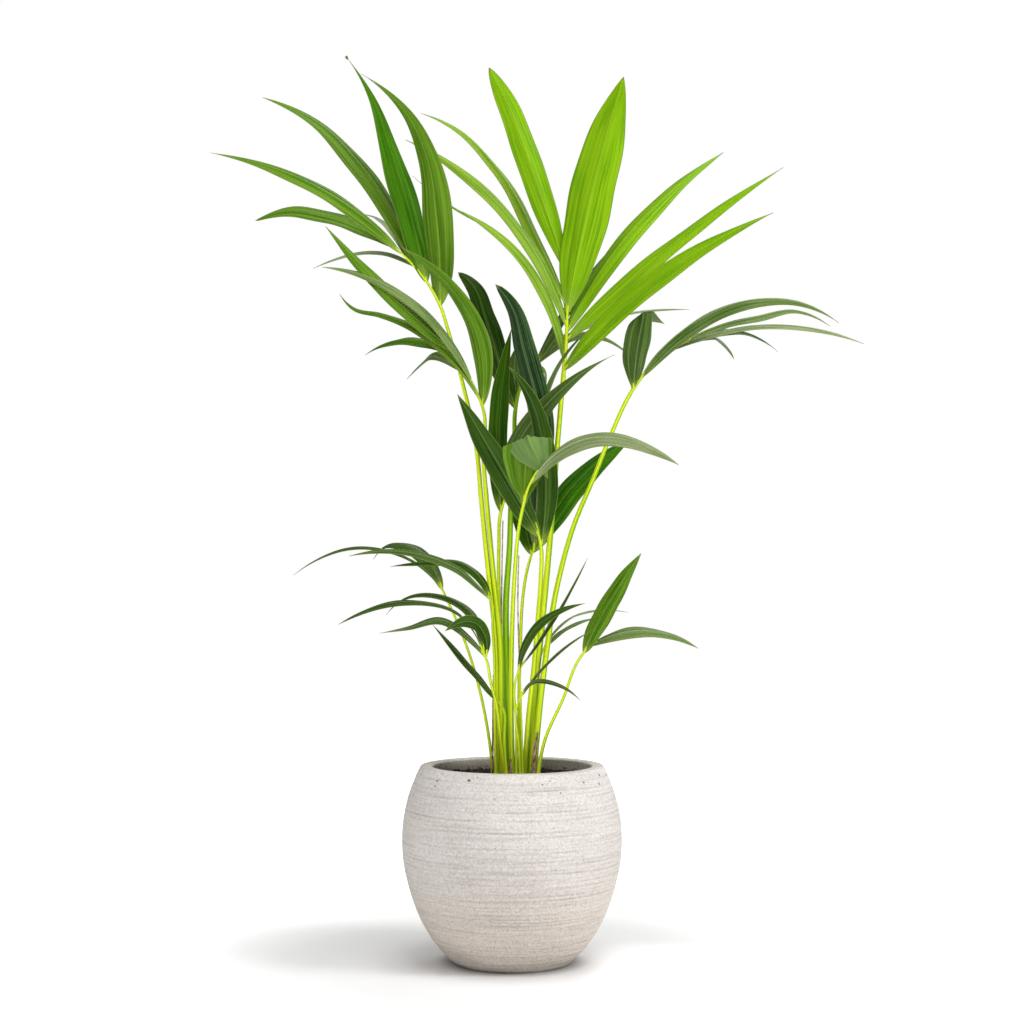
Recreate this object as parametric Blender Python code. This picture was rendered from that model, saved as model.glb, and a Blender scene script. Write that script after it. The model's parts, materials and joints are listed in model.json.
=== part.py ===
"""A potted kentia palm: a round ribbed pot, its soil, the stalks and the fronds.

Every place and size in the tables is in millimetres, measured from the middle of the
pot's flat foot, which is the origin. X runs to the right of the front view, Y away from
it and Z up. MM turns a table value into metres.
"""

import math
from typing import NamedTuple

import bmesh
import bpy
from mathutils import Matrix, Vector

MM = 0.001
GAP = 0.3

# Pot and soil
POT_HEIGHT = 235.0
POT_FOOT_RADIUS = 70.0
POT_BELLY_RADIUS = 132.5
POT_BELLY_HEIGHT = 143.0
POT_MOUTH_RADIUS = 111.0
POT_WALL = 15.0
POT_FLOOR = 24.0
RIM_ROUND = 2.5
SOIL_BELOW_RIM = 14.5
SOIL_TOP = POT_HEIGHT - SOIL_BELOW_RIM
STALK_FOOT = SOIL_TOP + GAP
POT_SIDES = 48
POT_WALL_STEPS = 13

# Stalks, ribs and blades
STALK_SIDES = 8
STALK_STEP = 28.0
RIB_SIDES = 6
RIB_STEPS = 4
RIB_END_RADIUS = 1.0
BLADE_STEPS = 8
BLADE_SPREAD = 0.6
BLADE_TAPER = 0.9
BLADE_ROOT_SHARE = 0.16
LEAST_THICKNESS = 1.5
THICKNESS_SHARE = 1.0 / 85.0
CREASE = 0.14

# Colours: red, green and blue in linear light, then roughness
PALE_CLAY = (0.60, 0.56, 0.50, 0.90)
DARK_SOIL = (0.025, 0.018, 0.013, 0.95)
LIME_STALK = (0.42, 0.60, 0.05, 0.45)
DEEP_STALK = (0.20, 0.42, 0.03, 0.45)
DRY_BROWN = (0.20, 0.12, 0.06, 0.90)
BRIGHT_GREEN = (0.16, 0.42, 0.02, 0.45)
MID_GREEN = (0.07, 0.24, 0.02, 0.45)
DARK_GREEN = (0.02, 0.09, 0.02, 0.40)
GREY_GREEN = (0.07, 0.14, 0.05, 0.50)


class Leaflet(NamedTuple):
    """One blade of a frond: where it grows on the rib, how wide, and the way it takes."""

    seat: float
    width: float
    turn: float
    way: tuple
    twist: float = 0.0
    spread: float = BLADE_SPREAD
    taper: float = BLADE_TAPER


class Frond(NamedTuple):
    """A stalk, given by its points up to the fan, and the rib and leaflets above it."""

    name: str
    colour: tuple
    radii: tuple
    stalk: tuple
    rib: tuple
    leaflets: tuple
    stalk_colour: tuple = LIME_STALK


# The double stem on the left, which forks into two stalks
LEFT_STEM_RADII = (5.0, 4.3)
LEFT_STEM = (
    (-14.5, -4, STALK_FOOT), (-15.5, -6, 310), (-17, -11, 386),
    (-25, -17, 463), (-35, -25, 569),
)
FORK_GAP = 0.9
FORK_LEFT = (-38.2, -25, 569 + FORK_GAP)
FORK_RIGHT = (-31.8, -25.5, 569 + FORK_GAP)

FRONDS = (
    Frond(
        "top_left", MID_GREEN, (2.8, 2.0),
        (FORK_LEFT, (-46, -30, 637), (-57, -34, 685), (-78, -41, 762), (-84, -44, 781)),
        ((-118, -50, 833), (-143, -52, 856)),
        (
            Leaflet(0.05, 35, 20,
                    ((-89, -57, 889), (-99, -66, 955), (-124, -72, 1008), (-178, -80, 1054)),
                    taper=1.1),
            Leaflet(0.38, 35, 30,
                    ((-130, -42, 922), (-149, -38, 982), (-169, -34, 1039), (-200, -30, 1088)),
                    taper=1.2),
            Leaflet(0.55, 30, 45, ((-178, -20, 949), (-236, 0, 1013), (-307, 20, 1051))),
            Leaflet(0.85, 25, 50, ((-230, -75, 920), (-352, -95, 957)), taper=1.1),
            Leaflet(0.95, 25, 50, ((-217, -30, 894), (-268, -22, 903), (-311, -10, 893)), taper=0.6),
            Leaflet(0.62, 16, 70, ((-183, 20, 859), (-248, 60, 846))),
            Leaflet(0.72, 20, 60, ((-156, 40, 898), (-190, 115, 924))),
        ),
    ),
    Frond(
        "upper_left", MID_GREEN, (2.8, 2.0),
        (FORK_RIGHT, (-34, -30, 601), (-33.5, -36, 658)),
        ((-50, -46, 697), (-72, -58, 731)),
        (
            Leaflet(0.10, 25, 25, ((-45, -62, 759), (-131, -85, 849)), taper=1.1),
            Leaflet(0.97, 22, 40, ((-134, -85, 783), (-216, -110, 868))),
            Leaflet(0.40, 20, 62, ((-102, -75, 771), (-143, -90, 800), (-219, -120, 819))),
            Leaflet(0.20, 18, 60,
                    ((-114, -66, 755), (-155, -70, 771), (-187, -70, 778), (-203, -70, 795))),
            Leaflet(0.92, 18, 70, ((-124, -40, 744), (-178, -5, 730))),
            Leaflet(0.60, 15, 45, ((-86, -42, 727), (-108, 0, 721), (-129, 25, 704))),
        ),
    ),
    Frond(
        "top_right", BRIGHT_GREEN, (4.4, 3.0),
        (
            (21.5, 3, STALK_FOOT), (29, 5, 335), (37, 8, 411), (46.5, 13, 510),
            (54, 18, 604), (61, 22, 686), (63, 23, 707),
        ),
        ((68, 27, 790), (66, 30, 853)),
        (
            Leaflet(0.90, 32, 20,
                    ((34, 20, 933), (-3, 5, 1033), (-28, -10, 1080)),
                    spread=1.0, taper=0.6),
            Leaflet(0.55, 56, 5, ((97, 10, 928), (135, -20, 1066)), spread=0.8, taper=0.65),
            Leaflet(0.60, 24, 50, ((33, 38, 872), (-18, 52, 967), (-66, 57, 1018), (-114, 60, 1041))),
            Leaflet(0.42, 23, 50, ((-4, 0, 899), (-69, -20, 956), (-128, -35, 986))),
            Leaflet(0.24, 17, 75, ((-14, 35, 883), (-77, 20, 918), (-122, 10, 952))),
            Leaflet(0.12, 18, 50, ((24, -15, 830), (-60, -60, 895))),
            Leaflet(0.38, 29, 35, ((151, 60, 893), (270, 110, 1003))),
            Leaflet(0.31, 26, 35, ((188, 0, 859), (329, -10, 958)), taper=1.2),
            Leaflet(0.06, 27, 35, ((176, -60, 818), (303, -110, 884)), taper=1.1),
        ),
    ),
    Frond(
        "right", GREY_GREEN, (4.0, 2.4),
        (
            (26, -8, STALK_FOOT), (34, -4, 310), (42, 3, 373), (54, 12, 446),
            (77, 24, 528), (99, 32, 580), (123, 40, 639), (147, 46, 689),
        ),
        ((170, 52, 720), (220, 60, 755)),
        (
            Leaflet(0.06, 34, 10, ((155, 26, 740), (171, 10, 776), (195, -20, 760)), 60),
            Leaflet(0.25, 26, 60,
                    ((220, 46, 769), (303, 28, 801), (352, 14, 796), (397, 0, 770)),
                    taper=1.2),
            Leaflet(0.97, 16, 75, ((308, 80, 789), (398, 70, 775))),
            Leaflet(0.75, 18, 70, ((308, 20, 769), (424, -20, 742))),
            Leaflet(0.88, 16, 60, ((258, 100, 763), (286, 140, 741))),
            Leaflet(0.95, 16, 60, ((286, 105, 773), (344, 150, 752))),
        ),
    ),
    Frond(
        "middle_front", DARK_GREEN, (3.6, 2.5),
        (
            (15.7, -6, STALK_FOOT), (19, -8, 281), (27, -12, 360), (31, -18, 411),
            (34.7, -26, 463), (35, -30, 494),
        ),
        ((28, -36, 527),),
        (
            Leaflet(0.12, 27, 20, ((39, -44, 606), (28, -48, 661), (-4, -55, 711))),
            Leaflet(0.50, 32, 20, ((-14, -60, 590), (-64, -80, 676))),
        ),
    ),
    Frond(
        "middle_back", DARK_GREEN, (5.0, 2.6),
        (
            (-1, 8, STALK_FOOT), (-6, 9, 337), (-7.3, 14, 433), (-3, 20, 498),
            (-1, 27, 559), (3, 38, 630), (4, 46, 667),
        ),
        ((11, 52, 698), (31, 66, 729)),
        (
            Leaflet(0.05, 31, 15,
                    ((-17, 58, 731), (-34, 70, 788), (-47, 80, 824), (-68, 90, 846)),
                    taper=0.6),
            Leaflet(0.15, 18, 30, ((2, 62, 705), (6, 85, 752))),
            Leaflet(0.97, 16, 40, ((66, 85, 792), (117, 120, 871))),
            Leaflet(0.90, 18, 50, ((99, 110, 770), (164, 140, 734))),
            Leaflet(0.92, 14, 30, ((40, 82, 722), (41, 96, 694))),
            Leaflet(0.94, 20, 75, ((113, 150, 791), (237, 230, 818))),
        ),
        DEEP_STALK,
    ),
    Frond(
        "middle_left", DARK_GREEN, (2.8, 2.1),
        (
            (-8, 17, STALK_FOOT), (-12, 15, 330), (-16, 12, 440), (-16, 10, 498),
            (-14, 8, 538),
        ),
        ((-6, 4, 562),),
        (
            Leaflet(0.12, 26, 20, ((-16, 2, 649), (-1, 0, 762))),
            Leaflet(0.92, 30, 20,
                    ((9, -8, 624), (45, -22, 672), (72, -27, 697), (123, -30, 728)),
                    spread=0.5, taper=1.5),
        ),
    ),
    Frond(
        "front", GREY_GREEN, (3.6, 2.0),
        (
            (0.5, -12, STALK_FOOT), (-1, -16, 287), (0, -34, 398), (3, -56, 463),
            (9, -84, 525), (13, -95, 544),
        ),
        ((18, -106, 563), (30, -118, 585)),
        (
            Leaflet(0.10, 54, 0, ((16, -104, 586), (22, -114, 619), (40, -136, 578)), spread=1.1),
            Leaflet(0.60, 21, 58, ((96, -150, 619), (160, -165, 604), (187, -170, 588))),
        ),
    ),
    Frond(
        "middle_right", DARK_GREEN, (2.3, 1.8),
        (
            (11, 9, STALK_FOOT), (8.5, 11, 310), (10, 14, 372), (13.5, 20, 439),
            (17, 23, 463), (22, 26, 483),
        ),
        ((28, 31, 498),),
        (
            Leaflet(0.40, 26, 20, ((12, 45, 538), (-5, 60, 613))),
            Leaflet(0.60, 34, 20, ((82, 62, 579), (150, 100, 635))),
            Leaflet(0.80, 30, 15,
                    ((31, 10, 560), (36, 2, 640), (13, -6, 742), (1, -10, 787), (-20, -14, 815)),
                    spread=0.8, taper=0.6),
            Leaflet(0.90, 16, 60, ((40, 18, 677), (64, 10, 730), (102, 8, 769))),
        ),
    ),
    Frond(
        "low_left", GREY_GREEN, (2.0, 1.5),
        (
            (-23, 8, STALK_FOOT), (-30, 12, 279), (-48, 19, 355), (-61, 24, 392),
            (-83, 30, 441),
        ),
        ((-92, 33, 460),),
        (
            Leaflet(0.30, 24, 50, ((-124, 50, 497), (-148, 62, 502), (-174, 85, 483))),
            Leaflet(0.25, 12, 65, ((-110, 30, 473), (-173, 20, 497), (-263, -10, 464))),
        ),
    ),
    Frond(
        "low_left_upper", GREY_GREEN, (2.0, 1.6),
        (
            (-19, -14, STALK_FOOT), (-20.5, -17, 300), (-21, -21, 362),
            (-23, -36, 411), (-22.6, -41, 427),
        ),
        ((-28, -44, 441),),
        (
            Leaflet(0.60, 16, 45, ((-59, -30, 473), (-98, -20, 479), (-147, -5, 474))),
            Leaflet(0.50, 16, 60, ((-58, -60, 466), (-105, -80, 487), (-188, -110, 486))),
        ),
    ),
    Frond(
        "low_left_front", GREY_GREEN, (2.0, 1.6),
        (
            (-8, -14, STALK_FOOT), (-13, -20, 264), (-19, -32, 312), (-25.5, -40, 338),
            (-30, -48, 363),
        ),
        ((-35.5, -52, 375),),
        (
            Leaflet(0.30, 19, 10, ((-31, -47, 385), (-41, -56, 404), (-78, -85, 399)), 60),
            Leaflet(0.40, 12, 60,
                    ((-52, -56, 391), (-84, -68, 411), (-122, -80, 402), (-153, -95, 397)),
                    taper=1.2),
            Leaflet(0.70, 14, 60, ((-52, -30, 418), (-90, -20, 435), (-126, -10, 430), (-152, 0, 416))),
            Leaflet(0.80, 11, 65, ((-63, -40, 417), (-134, -20, 431), (-207, -30, 405))),
        ),
    ),
    Frond(
        "low_left_small", DARK_GREEN, (1.8, 1.4),
        ((-6.5, -24.5, STALK_FOOT), (-9, -25, 265), (-12.5, -22.5, 308)),
        ((-20, -25, 315.5),),
        (Leaflet(0.50, 14, 60, ((-50, -34, 354), (-94, -42, 405))),),
    ),
    Frond(
        "low_right", MID_GREEN, (2.3, 1.6),
        ((31, -20, STALK_FOOT), (39, -16, 265), (61, -8, 314), (85, 0, 368)),
        ((98, 4, 381),),
        (
            Leaflet(0.15, 24, 20, ((116, -10, 429), (155, -20, 490))),
            Leaflet(0.80, 20, 55, ((155, 0, 396), (226, 10, 375))),
        ),
    ),
    Frond(
        "low_right_back", GREY_GREEN, (1.8, 1.4),
        ((20, 16, STALK_FOOT), (22, 19, 290), (35.5, 26, 366)),
        ((42, 34, 380),),
        (
            Leaflet(0.50, 14, 65, ((72, 50, 401), (118, 80, 409))),
            Leaflet(0.90, 10, 75, ((86, 90, 415), (148, 130, 416))),
        ),
    ),
    Frond(
        "low_front", GREY_GREEN, (1.9, 1.4),
        ((5.5, -19, STALK_FOOT), (5, -28, 285), (6, -40, 345)),
        ((13, -42, 359.5),),
        (
            Leaflet(0.30, 13, 45, ((28, -60, 396), (85, -80, 431))),
            Leaflet(0.80, 12, 70, ((48, -50, 410), (90, -30, 484))),
        ),
    ),
    Frond(
        "low_front_small", DARK_GREEN, (1.7, 1.3),
        ((10, -25, STALK_FOOT), (8, -33, 262), (5.5, -44, 308)),
        ((10.7, -48, 321),),
        (
            Leaflet(0.60, 11, 62, ((47, -70, 366), (94, -100, 401))),
            Leaflet(0.90, 10, 55, ((25, -60, 338), (50, -75, 337), (79, -95, 319))),
        ),
    ),
)

# Dry sheaths and the dead tips of old stalks: name, radii and points
DRY_PIECES = (
    ("dry_sheath_right", (2.4, 0.8), ((26.5, -16.5, STALK_FOOT), (31.5, -13, 262))),
    ("dry_sheath_middle", (2.0, 0.9), ((-2, -19, STALK_FOOT), (-1.5, -21, 244))),
    ("dry_sheath_left", (1.5, 0.7), ((-23.5, -3, STALK_FOOT), (-22.5, -8, 343))),
    (
        "dry_tip_left", (1.5, 0.7),
        ((-14, 12, STALK_FOOT), (-13.2, 9, 330), (-12.5, 6, 440), (-11, 5, 530)),
    ),
    (
        "dry_tip_front", (1.4, 0.7),
        ((13, -17, STALK_FOOT), (9.5, -28, 349), (7, -43, 430), (8.2, -60, 487)),
    ),
)


def clear_scene():
    """Remove every object that the file opened with."""
    for thing in list(bpy.data.objects):
        bpy.data.objects.remove(thing)


def material(name, colour):
    """A plain Principled material from red, green, blue and roughness."""
    made = bpy.data.materials.new(name)
    made.use_nodes = True
    shader = made.node_tree.nodes["Principled BSDF"]
    shader.inputs["Base Color"].default_value = (*colour[:3], 1.0)
    shader.inputs["Roughness"].default_value = colour[3]
    shader.inputs["Metallic"].default_value = 0.0
    return made


def add_object(name, mesh, colour, smooth_angle=math.radians(40)):
    """Put a mesh in the scene under a node name with a material of its own."""
    mesh.shade_smooth()
    mesh.set_sharp_from_angle(angle=smooth_angle)
    mesh.materials.append(material(name + "_finish", colour))
    thing = bpy.data.objects.new(name, mesh)
    bpy.context.scene.collection.objects.link(thing)
    return thing


class Path:
    """A smooth curve through a few points, read by its share of length from 0 to 1."""

    def __init__(self, points):
        self.points = [Vector(p) for p in points]
        self.spans = [(b - a).length for a, b in zip(self.points, self.points[1:])]
        self.slopes = self._slopes()
        self.length = sum(self.spans)

    def _slopes(self):
        """The curve's direction at each point, as a parabola through its neighbours has it."""
        steps = [
            (b - a) / h for a, b, h in zip(self.points, self.points[1:], self.spans)
        ]
        if len(steps) == 1:
            return [steps[0], steps[0]]
        inner = [
            (steps[i + 1] * self.spans[i] + steps[i] * self.spans[i + 1])
            / (self.spans[i] + self.spans[i + 1])
            for i in range(len(steps) - 1)
        ]
        return [2 * steps[0] - inner[0], *inner, 2 * steps[-1] - inner[-1]]

    def share_at(self, index):
        """The share of length at which the curve passes one of its points."""
        return sum(self.spans[:index]) / self.length

    def at(self, share):
        """The place on the curve, and its direction there."""
        left = min(max(share, 0.0), 1.0) * self.length
        i = 0
        while i < len(self.spans) - 1 and left > self.spans[i]:
            left -= self.spans[i]
            i += 1
        h = self.spans[i]
        u = min(left / h, 1.0)
        a, b = self.points[i], self.points[i + 1]
        m, n = self.slopes[i] * h, self.slopes[i + 1] * h
        place = (
            a * (2 * u**3 - 3 * u**2 + 1) + m * (u**3 - 2 * u**2 + u)
            + b * (3 * u**2 - 2 * u**3) + n * (u**3 - u**2)
        )
        way = (
            (b - a) * (6 * u - 6 * u**2) + m * (3 * u**2 - 4 * u + 1)
            + n * (3 * u**2 - 2 * u)
        )
        return place, way.normalized()


def skin(rings, tip=None):
    """A closed mesh over rings of points, each ring in turn, with a flat or pointed end."""
    bm = bmesh.new()
    rows = [[bm.verts.new(p * MM) for p in ring] for ring in rings]
    sides = len(rows[0])
    for low, high in zip(rows, rows[1:]):
        for k in range(sides):
            n = (k + 1) % sides
            bm.faces.new((low[k], low[n], high[n], high[k]))
    bm.faces.new(reversed(rows[0]))
    if tip is None:
        bm.faces.new(rows[-1])
    else:
        point = bm.verts.new(tip * MM)
        for k in range(sides):
            bm.faces.new((rows[-1][k], rows[-1][(k + 1) % sides], point))
    bmesh.ops.triangulate(bm, faces=[f for f in bm.faces if len(f.verts) == 4])
    bmesh.ops.recalc_face_normals(bm, faces=bm.faces)
    mesh = bpy.data.meshes.new("skin")
    bm.to_mesh(mesh)
    bm.free()
    return mesh


def tube(path, start, end, radii, sides, steps, level_foot=False):
    """A round limb that tapers along part of a path."""
    side = Vector((1, 0, 0))
    rings = []
    for i in range(steps + 1):
        part = i / steps
        place, way = path.at(start + (end - start) * part)
        if level_foot and i == 0:
            way = Vector((0, 0, 1))
        side = (side - way * side.dot(way)).normalized()
        other = way.cross(side)
        radius = radii[0] + (radii[1] - radii[0]) * part
        angles = [2 * math.pi * k / sides for k in range(sides)]
        rings.append(
            [place + (side * math.cos(a) + other * math.sin(a)) * radius for a in angles]
        )
    return skin(rings)


def blade_width(part, spread, taper):
    """A leaflet's width at a share of its length, as a share of its greatest width."""
    peak = spread / (spread + taper)
    most = peak**spread * (1 - peak) ** taper
    shape = part**spread * (1 - part) ** taper / most
    return max(shape, BLADE_ROOT_SHARE)


def first_side(way, turn):
    """The direction of a blade's width at its root, turned about its own length."""
    depth = Vector((0, 1, 0))
    up = way.cross(depth).normalized()
    if up.z < 0:
        up = -up
    angle = math.radians(turn)
    side = up * math.cos(angle) + depth * math.sin(angle)
    return (side - way * side.dot(way)).normalized()


def blade(root, leaflet):
    """One creased leaflet from its root in the rib to its pointed tip."""
    path = Path((root, *leaflet.way))
    thick = max(path.length * THICKNESS_SHARE, LEAST_THICKNESS)
    before = path.at(0)[1]
    side = first_side(before, leaflet.turn)
    upper = side.cross(before)
    flip = -1 if upper.dot(Vector((0, -1, 0.5))) < 0 else 1
    rings = []
    for i in range(BLADE_STEPS):
        part = i / BLADE_STEPS
        place, way = path.at(part)
        side = before.rotation_difference(way) @ side
        before = way
        across = Matrix.Rotation(math.radians(leaflet.twist * part), 3, way) @ side
        normal = across.cross(way) * flip
        half = leaflet.width * blade_width(part, leaflet.spread, leaflet.taper) / 2
        drop = normal * (half * CREASE)
        over, under = drop + normal * thick / 2, drop - normal * thick / 2
        rings.append(
            [place - drop - across * half, place + over,
             place - drop + across * half, place + under]
        )
    return skin(rings, path.at(1)[0])


def fuse(name, meshes, colour):
    """Join overlapping closed meshes into one solid with one Boolean on a collection."""
    bits = bpy.data.collections.new(name + "_bits")
    bpy.context.scene.collection.children.link(bits)
    for mesh in meshes[1:]:
        bits.objects.link(bpy.data.objects.new(name + "_bit", mesh))
    whole = add_object(name, meshes[0], colour)
    union = whole.modifiers.new("fuse", "BOOLEAN")
    union.operation = "UNION"
    union.solver = "MANIFOLD"
    union.operand_type = "COLLECTION"
    union.collection = bits
    graph = bpy.context.evaluated_depsgraph_get()
    fused = bpy.data.meshes.new_from_object(whole.evaluated_get(graph))
    whole.modifiers.clear()
    whole.data = fused
    for bit in list(bits.objects):
        bpy.data.objects.remove(bit)
    bpy.data.collections.remove(bits)
    return whole


def build_frond(frond):
    """A stalk in one piece, and the rib with its leaflets in another just above it."""
    path = Path((*frond.stalk, *frond.rib))
    fan = path.share_at(len(frond.stalk) - 1)
    thick, thin = frond.radii
    steps = max(3, round(fan * path.length / STALK_STEP))
    stalk = tube(path, 0.0, fan, frond.radii, STALK_SIDES, steps, level_foot=True)
    add_object("stalk_" + frond.name, stalk, frond.stalk_colour)

    start = fan + GAP / path.length
    rib = tube(path, start, 1.0, (thin, RIB_END_RADIUS), RIB_SIDES, RIB_STEPS)
    blades = [
        blade(path.at(start + (1 - start) * leaflet.seat)[0], leaflet)
        for leaflet in frond.leaflets
    ]
    fuse("frond_" + frond.name, [rib, *blades], frond.colour)


def build_limb(name, points, radii, colour):
    """A tapering limb with a level foot."""
    path = Path(points)
    steps = max(3, round(path.length / STALK_STEP))
    limb = tube(path, 0.0, 1.0, radii, STALK_SIDES, steps, level_foot=True)
    add_object(name, limb, colour)


def turned(name, profile, colour):
    """A solid turned about Z from (radius, height) pairs, flat at both ends."""
    rings = []
    for radius, height in profile:
        angles = [2 * math.pi * k / POT_SIDES for k in range(POT_SIDES)]
        rings.append(
            [Vector((radius * math.cos(a), radius * math.sin(a), height)) for a in angles]
        )
    return add_object(name, skin(rings), colour, math.radians(50))


def wall_path(inset):
    """The pot's side as a curve of (radius, height), moved in from the outside."""
    rise = POT_HEIGHT - RIM_ROUND
    points = (
        (POT_FOOT_RADIUS, 0, 0),
        (POT_FOOT_RADIUS + 27, 30, 0),
        (POT_BELLY_RADIUS - 10, 84, 0),
        (POT_BELLY_RADIUS, POT_BELLY_HEIGHT, 0),
        (POT_BELLY_RADIUS - 6.5, 195, 0),
        (POT_MOUTH_RADIUS, rise, 0),
    )
    path = Path(points)
    return lambda share: path.at(share)[0] - Vector((inset, 0, 0))


def inner_wall(clearance, lowest, highest):
    """Pairs up the pot's inner side, from the floor to a height under the rim."""
    side = wall_path(POT_WALL + clearance)
    places = [side(i / POT_WALL_STEPS) for i in range(POT_WALL_STEPS + 1)]
    return [(p.x, p.y) for p in places if lowest < p.y < highest]


def build_pot():
    """The turned pot, with a flat foot, a rounded rim and an open mouth."""
    side = wall_path(0)
    outside = [side(i / POT_WALL_STEPS) for i in range(POT_WALL_STEPS + 1)]
    profile = [(p.x, p.y) for p in outside]
    mouth = POT_MOUTH_RADIUS
    profile += [
        (mouth - RIM_ROUND, POT_HEIGHT),
        (mouth - POT_WALL + RIM_ROUND, POT_HEIGHT),
        (mouth - POT_WALL, POT_HEIGHT - RIM_ROUND),
    ]
    inside = inner_wall(0, POT_FLOOR + 4, POT_HEIGHT - 5)
    profile += reversed(inside)
    profile.append((inside[0][0] - 10, POT_FLOOR))
    turned("pot", profile, PALE_CLAY)


def build_soil():
    """The soil that fills the pot to a little under its rim."""
    wall = inner_wall(GAP, POT_FLOOR + 4, SOIL_TOP - 6)
    side = wall_path(POT_WALL + GAP)
    top = min((side(i / 400) for i in range(401)), key=lambda p: abs(p.y - SOIL_TOP))
    profile = [(wall[0][0] - 10, POT_FLOOR + GAP), *wall, (top.x - 0.2, SOIL_TOP)]
    turned("soil", profile, DARK_SOIL)


clear_scene()
build_pot()
build_soil()
build_limb("stem_left", LEFT_STEM, LEFT_STEM_RADII, LIME_STALK)
for frond_plan in FRONDS:
    build_frond(frond_plan)
for dry_name, dry_radii, dry_points in DRY_PIECES:
    build_limb(dry_name, dry_points, dry_radii, DRY_BROWN)
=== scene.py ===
"""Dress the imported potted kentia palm: its ribbed leaflets, stalks, pot and soil.

The frame gives each solid its place. Every table value is in millimetres, measured from the
middle of the pot's flat foot, with X to the right of the front view, Y away from it and Z up.
"""

import itertools
import json
import logging
import math
from dataclasses import dataclass, field
from enum import Enum
from typing import Union

import bpy
import numpy as np
from mathutils import Matrix, Vector


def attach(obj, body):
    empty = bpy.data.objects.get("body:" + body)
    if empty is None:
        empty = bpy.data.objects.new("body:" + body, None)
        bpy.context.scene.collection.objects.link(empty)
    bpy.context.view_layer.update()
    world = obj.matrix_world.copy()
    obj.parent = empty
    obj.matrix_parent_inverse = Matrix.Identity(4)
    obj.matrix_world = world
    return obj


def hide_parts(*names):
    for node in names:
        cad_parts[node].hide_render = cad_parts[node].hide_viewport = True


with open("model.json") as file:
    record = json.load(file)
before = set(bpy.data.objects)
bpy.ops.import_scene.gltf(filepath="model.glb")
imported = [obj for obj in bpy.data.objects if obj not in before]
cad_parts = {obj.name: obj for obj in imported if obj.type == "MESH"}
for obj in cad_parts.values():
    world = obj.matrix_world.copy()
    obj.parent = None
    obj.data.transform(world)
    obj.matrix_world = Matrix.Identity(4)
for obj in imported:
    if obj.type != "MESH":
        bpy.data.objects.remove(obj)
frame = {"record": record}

log = logging.getLogger("kentia")

MM = 0.001
BODY = "root"

Place = tuple[float, float, float]
Colour = tuple[float, float, float]
Pair = tuple[float, float]
Grid = Union[float, np.ndarray, list[np.ndarray]]
Value = Union[float, "Signal"]

FULL_TURN = 2 * math.pi
WHOLE = (0.0, 1.0)

# The pot's driving sizes and the height at which the stalks leave the soil
POT_HEIGHT = 235.0
SOIL_BELOW_RIM = 14.5
SOIL_TOP = POT_HEIGHT - SOIL_BELOW_RIM
STALK_FOOT = SOIL_TOP + 0.3


class Tone(Enum):
    """The greens that a leaflet can have, its own green with painted light in it: fresh lit copies in the
    lit crown, dark or grey shaded copies in the shade, and a painted sheen in the grey ones.
    """

    BRIGHT = "bright"
    FRESH = "fresh"
    MID = "mid"
    LUSH = "lush"
    DEEP = "deep"
    DARK = "dark"
    INKY = "inky"
    GREY = "grey"
    SHEENED = "sheened"
    PALE = "pale"


class Side(Enum):
    """The two faces of a leaflet."""

    UPPER = "upper"
    UNDER = "under"


@dataclass(frozen=True)
class Fold:
    """A bend across a leaflet: where it lies, how it slants, how far and how tightly it turns.

    The angle is positive for a bend to the upper side and negative for one to the underside.
    """

    share: float
    slant: float
    angle: float
    radius: float


@dataclass(frozen=True)
class Leaflet:
    """One leaflet: where it grows on the rib, how wide it is, and the way it takes."""

    seat: float
    width: float
    turn: float
    tone: Tone
    way: tuple[Place, ...]
    twist: float = 0.0
    spread: float = 0.6
    taper: float = 0.9
    fold: Fold | None = None
    cup: float = 1.0
    bead: float = 0.0


@dataclass(frozen=True)
class Frond:
    """A stalk, given by its points up to the fan, and the rib and leaflets above it."""

    name: str
    radii: Pair
    stalk: tuple[Place, ...]
    rib: tuple[Place, ...]
    leaflets: tuple[Leaflet, ...]
    deep_stalk: bool = False


# The double stem on the left, which forks into two stalks
LEFT_STEM = (
    (-14.5, -4, STALK_FOOT), (-15.5, -6, 310), (-17, -11, 386),
    (-25, -17, 463), (-35, -25, 569),
)
FORK_GAP = 0.9
FORK_LEFT = (-38.2, -25, 569 + FORK_GAP)
FORK_RIGHT = (-31.8, -25.5, 569 + FORK_GAP)

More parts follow.
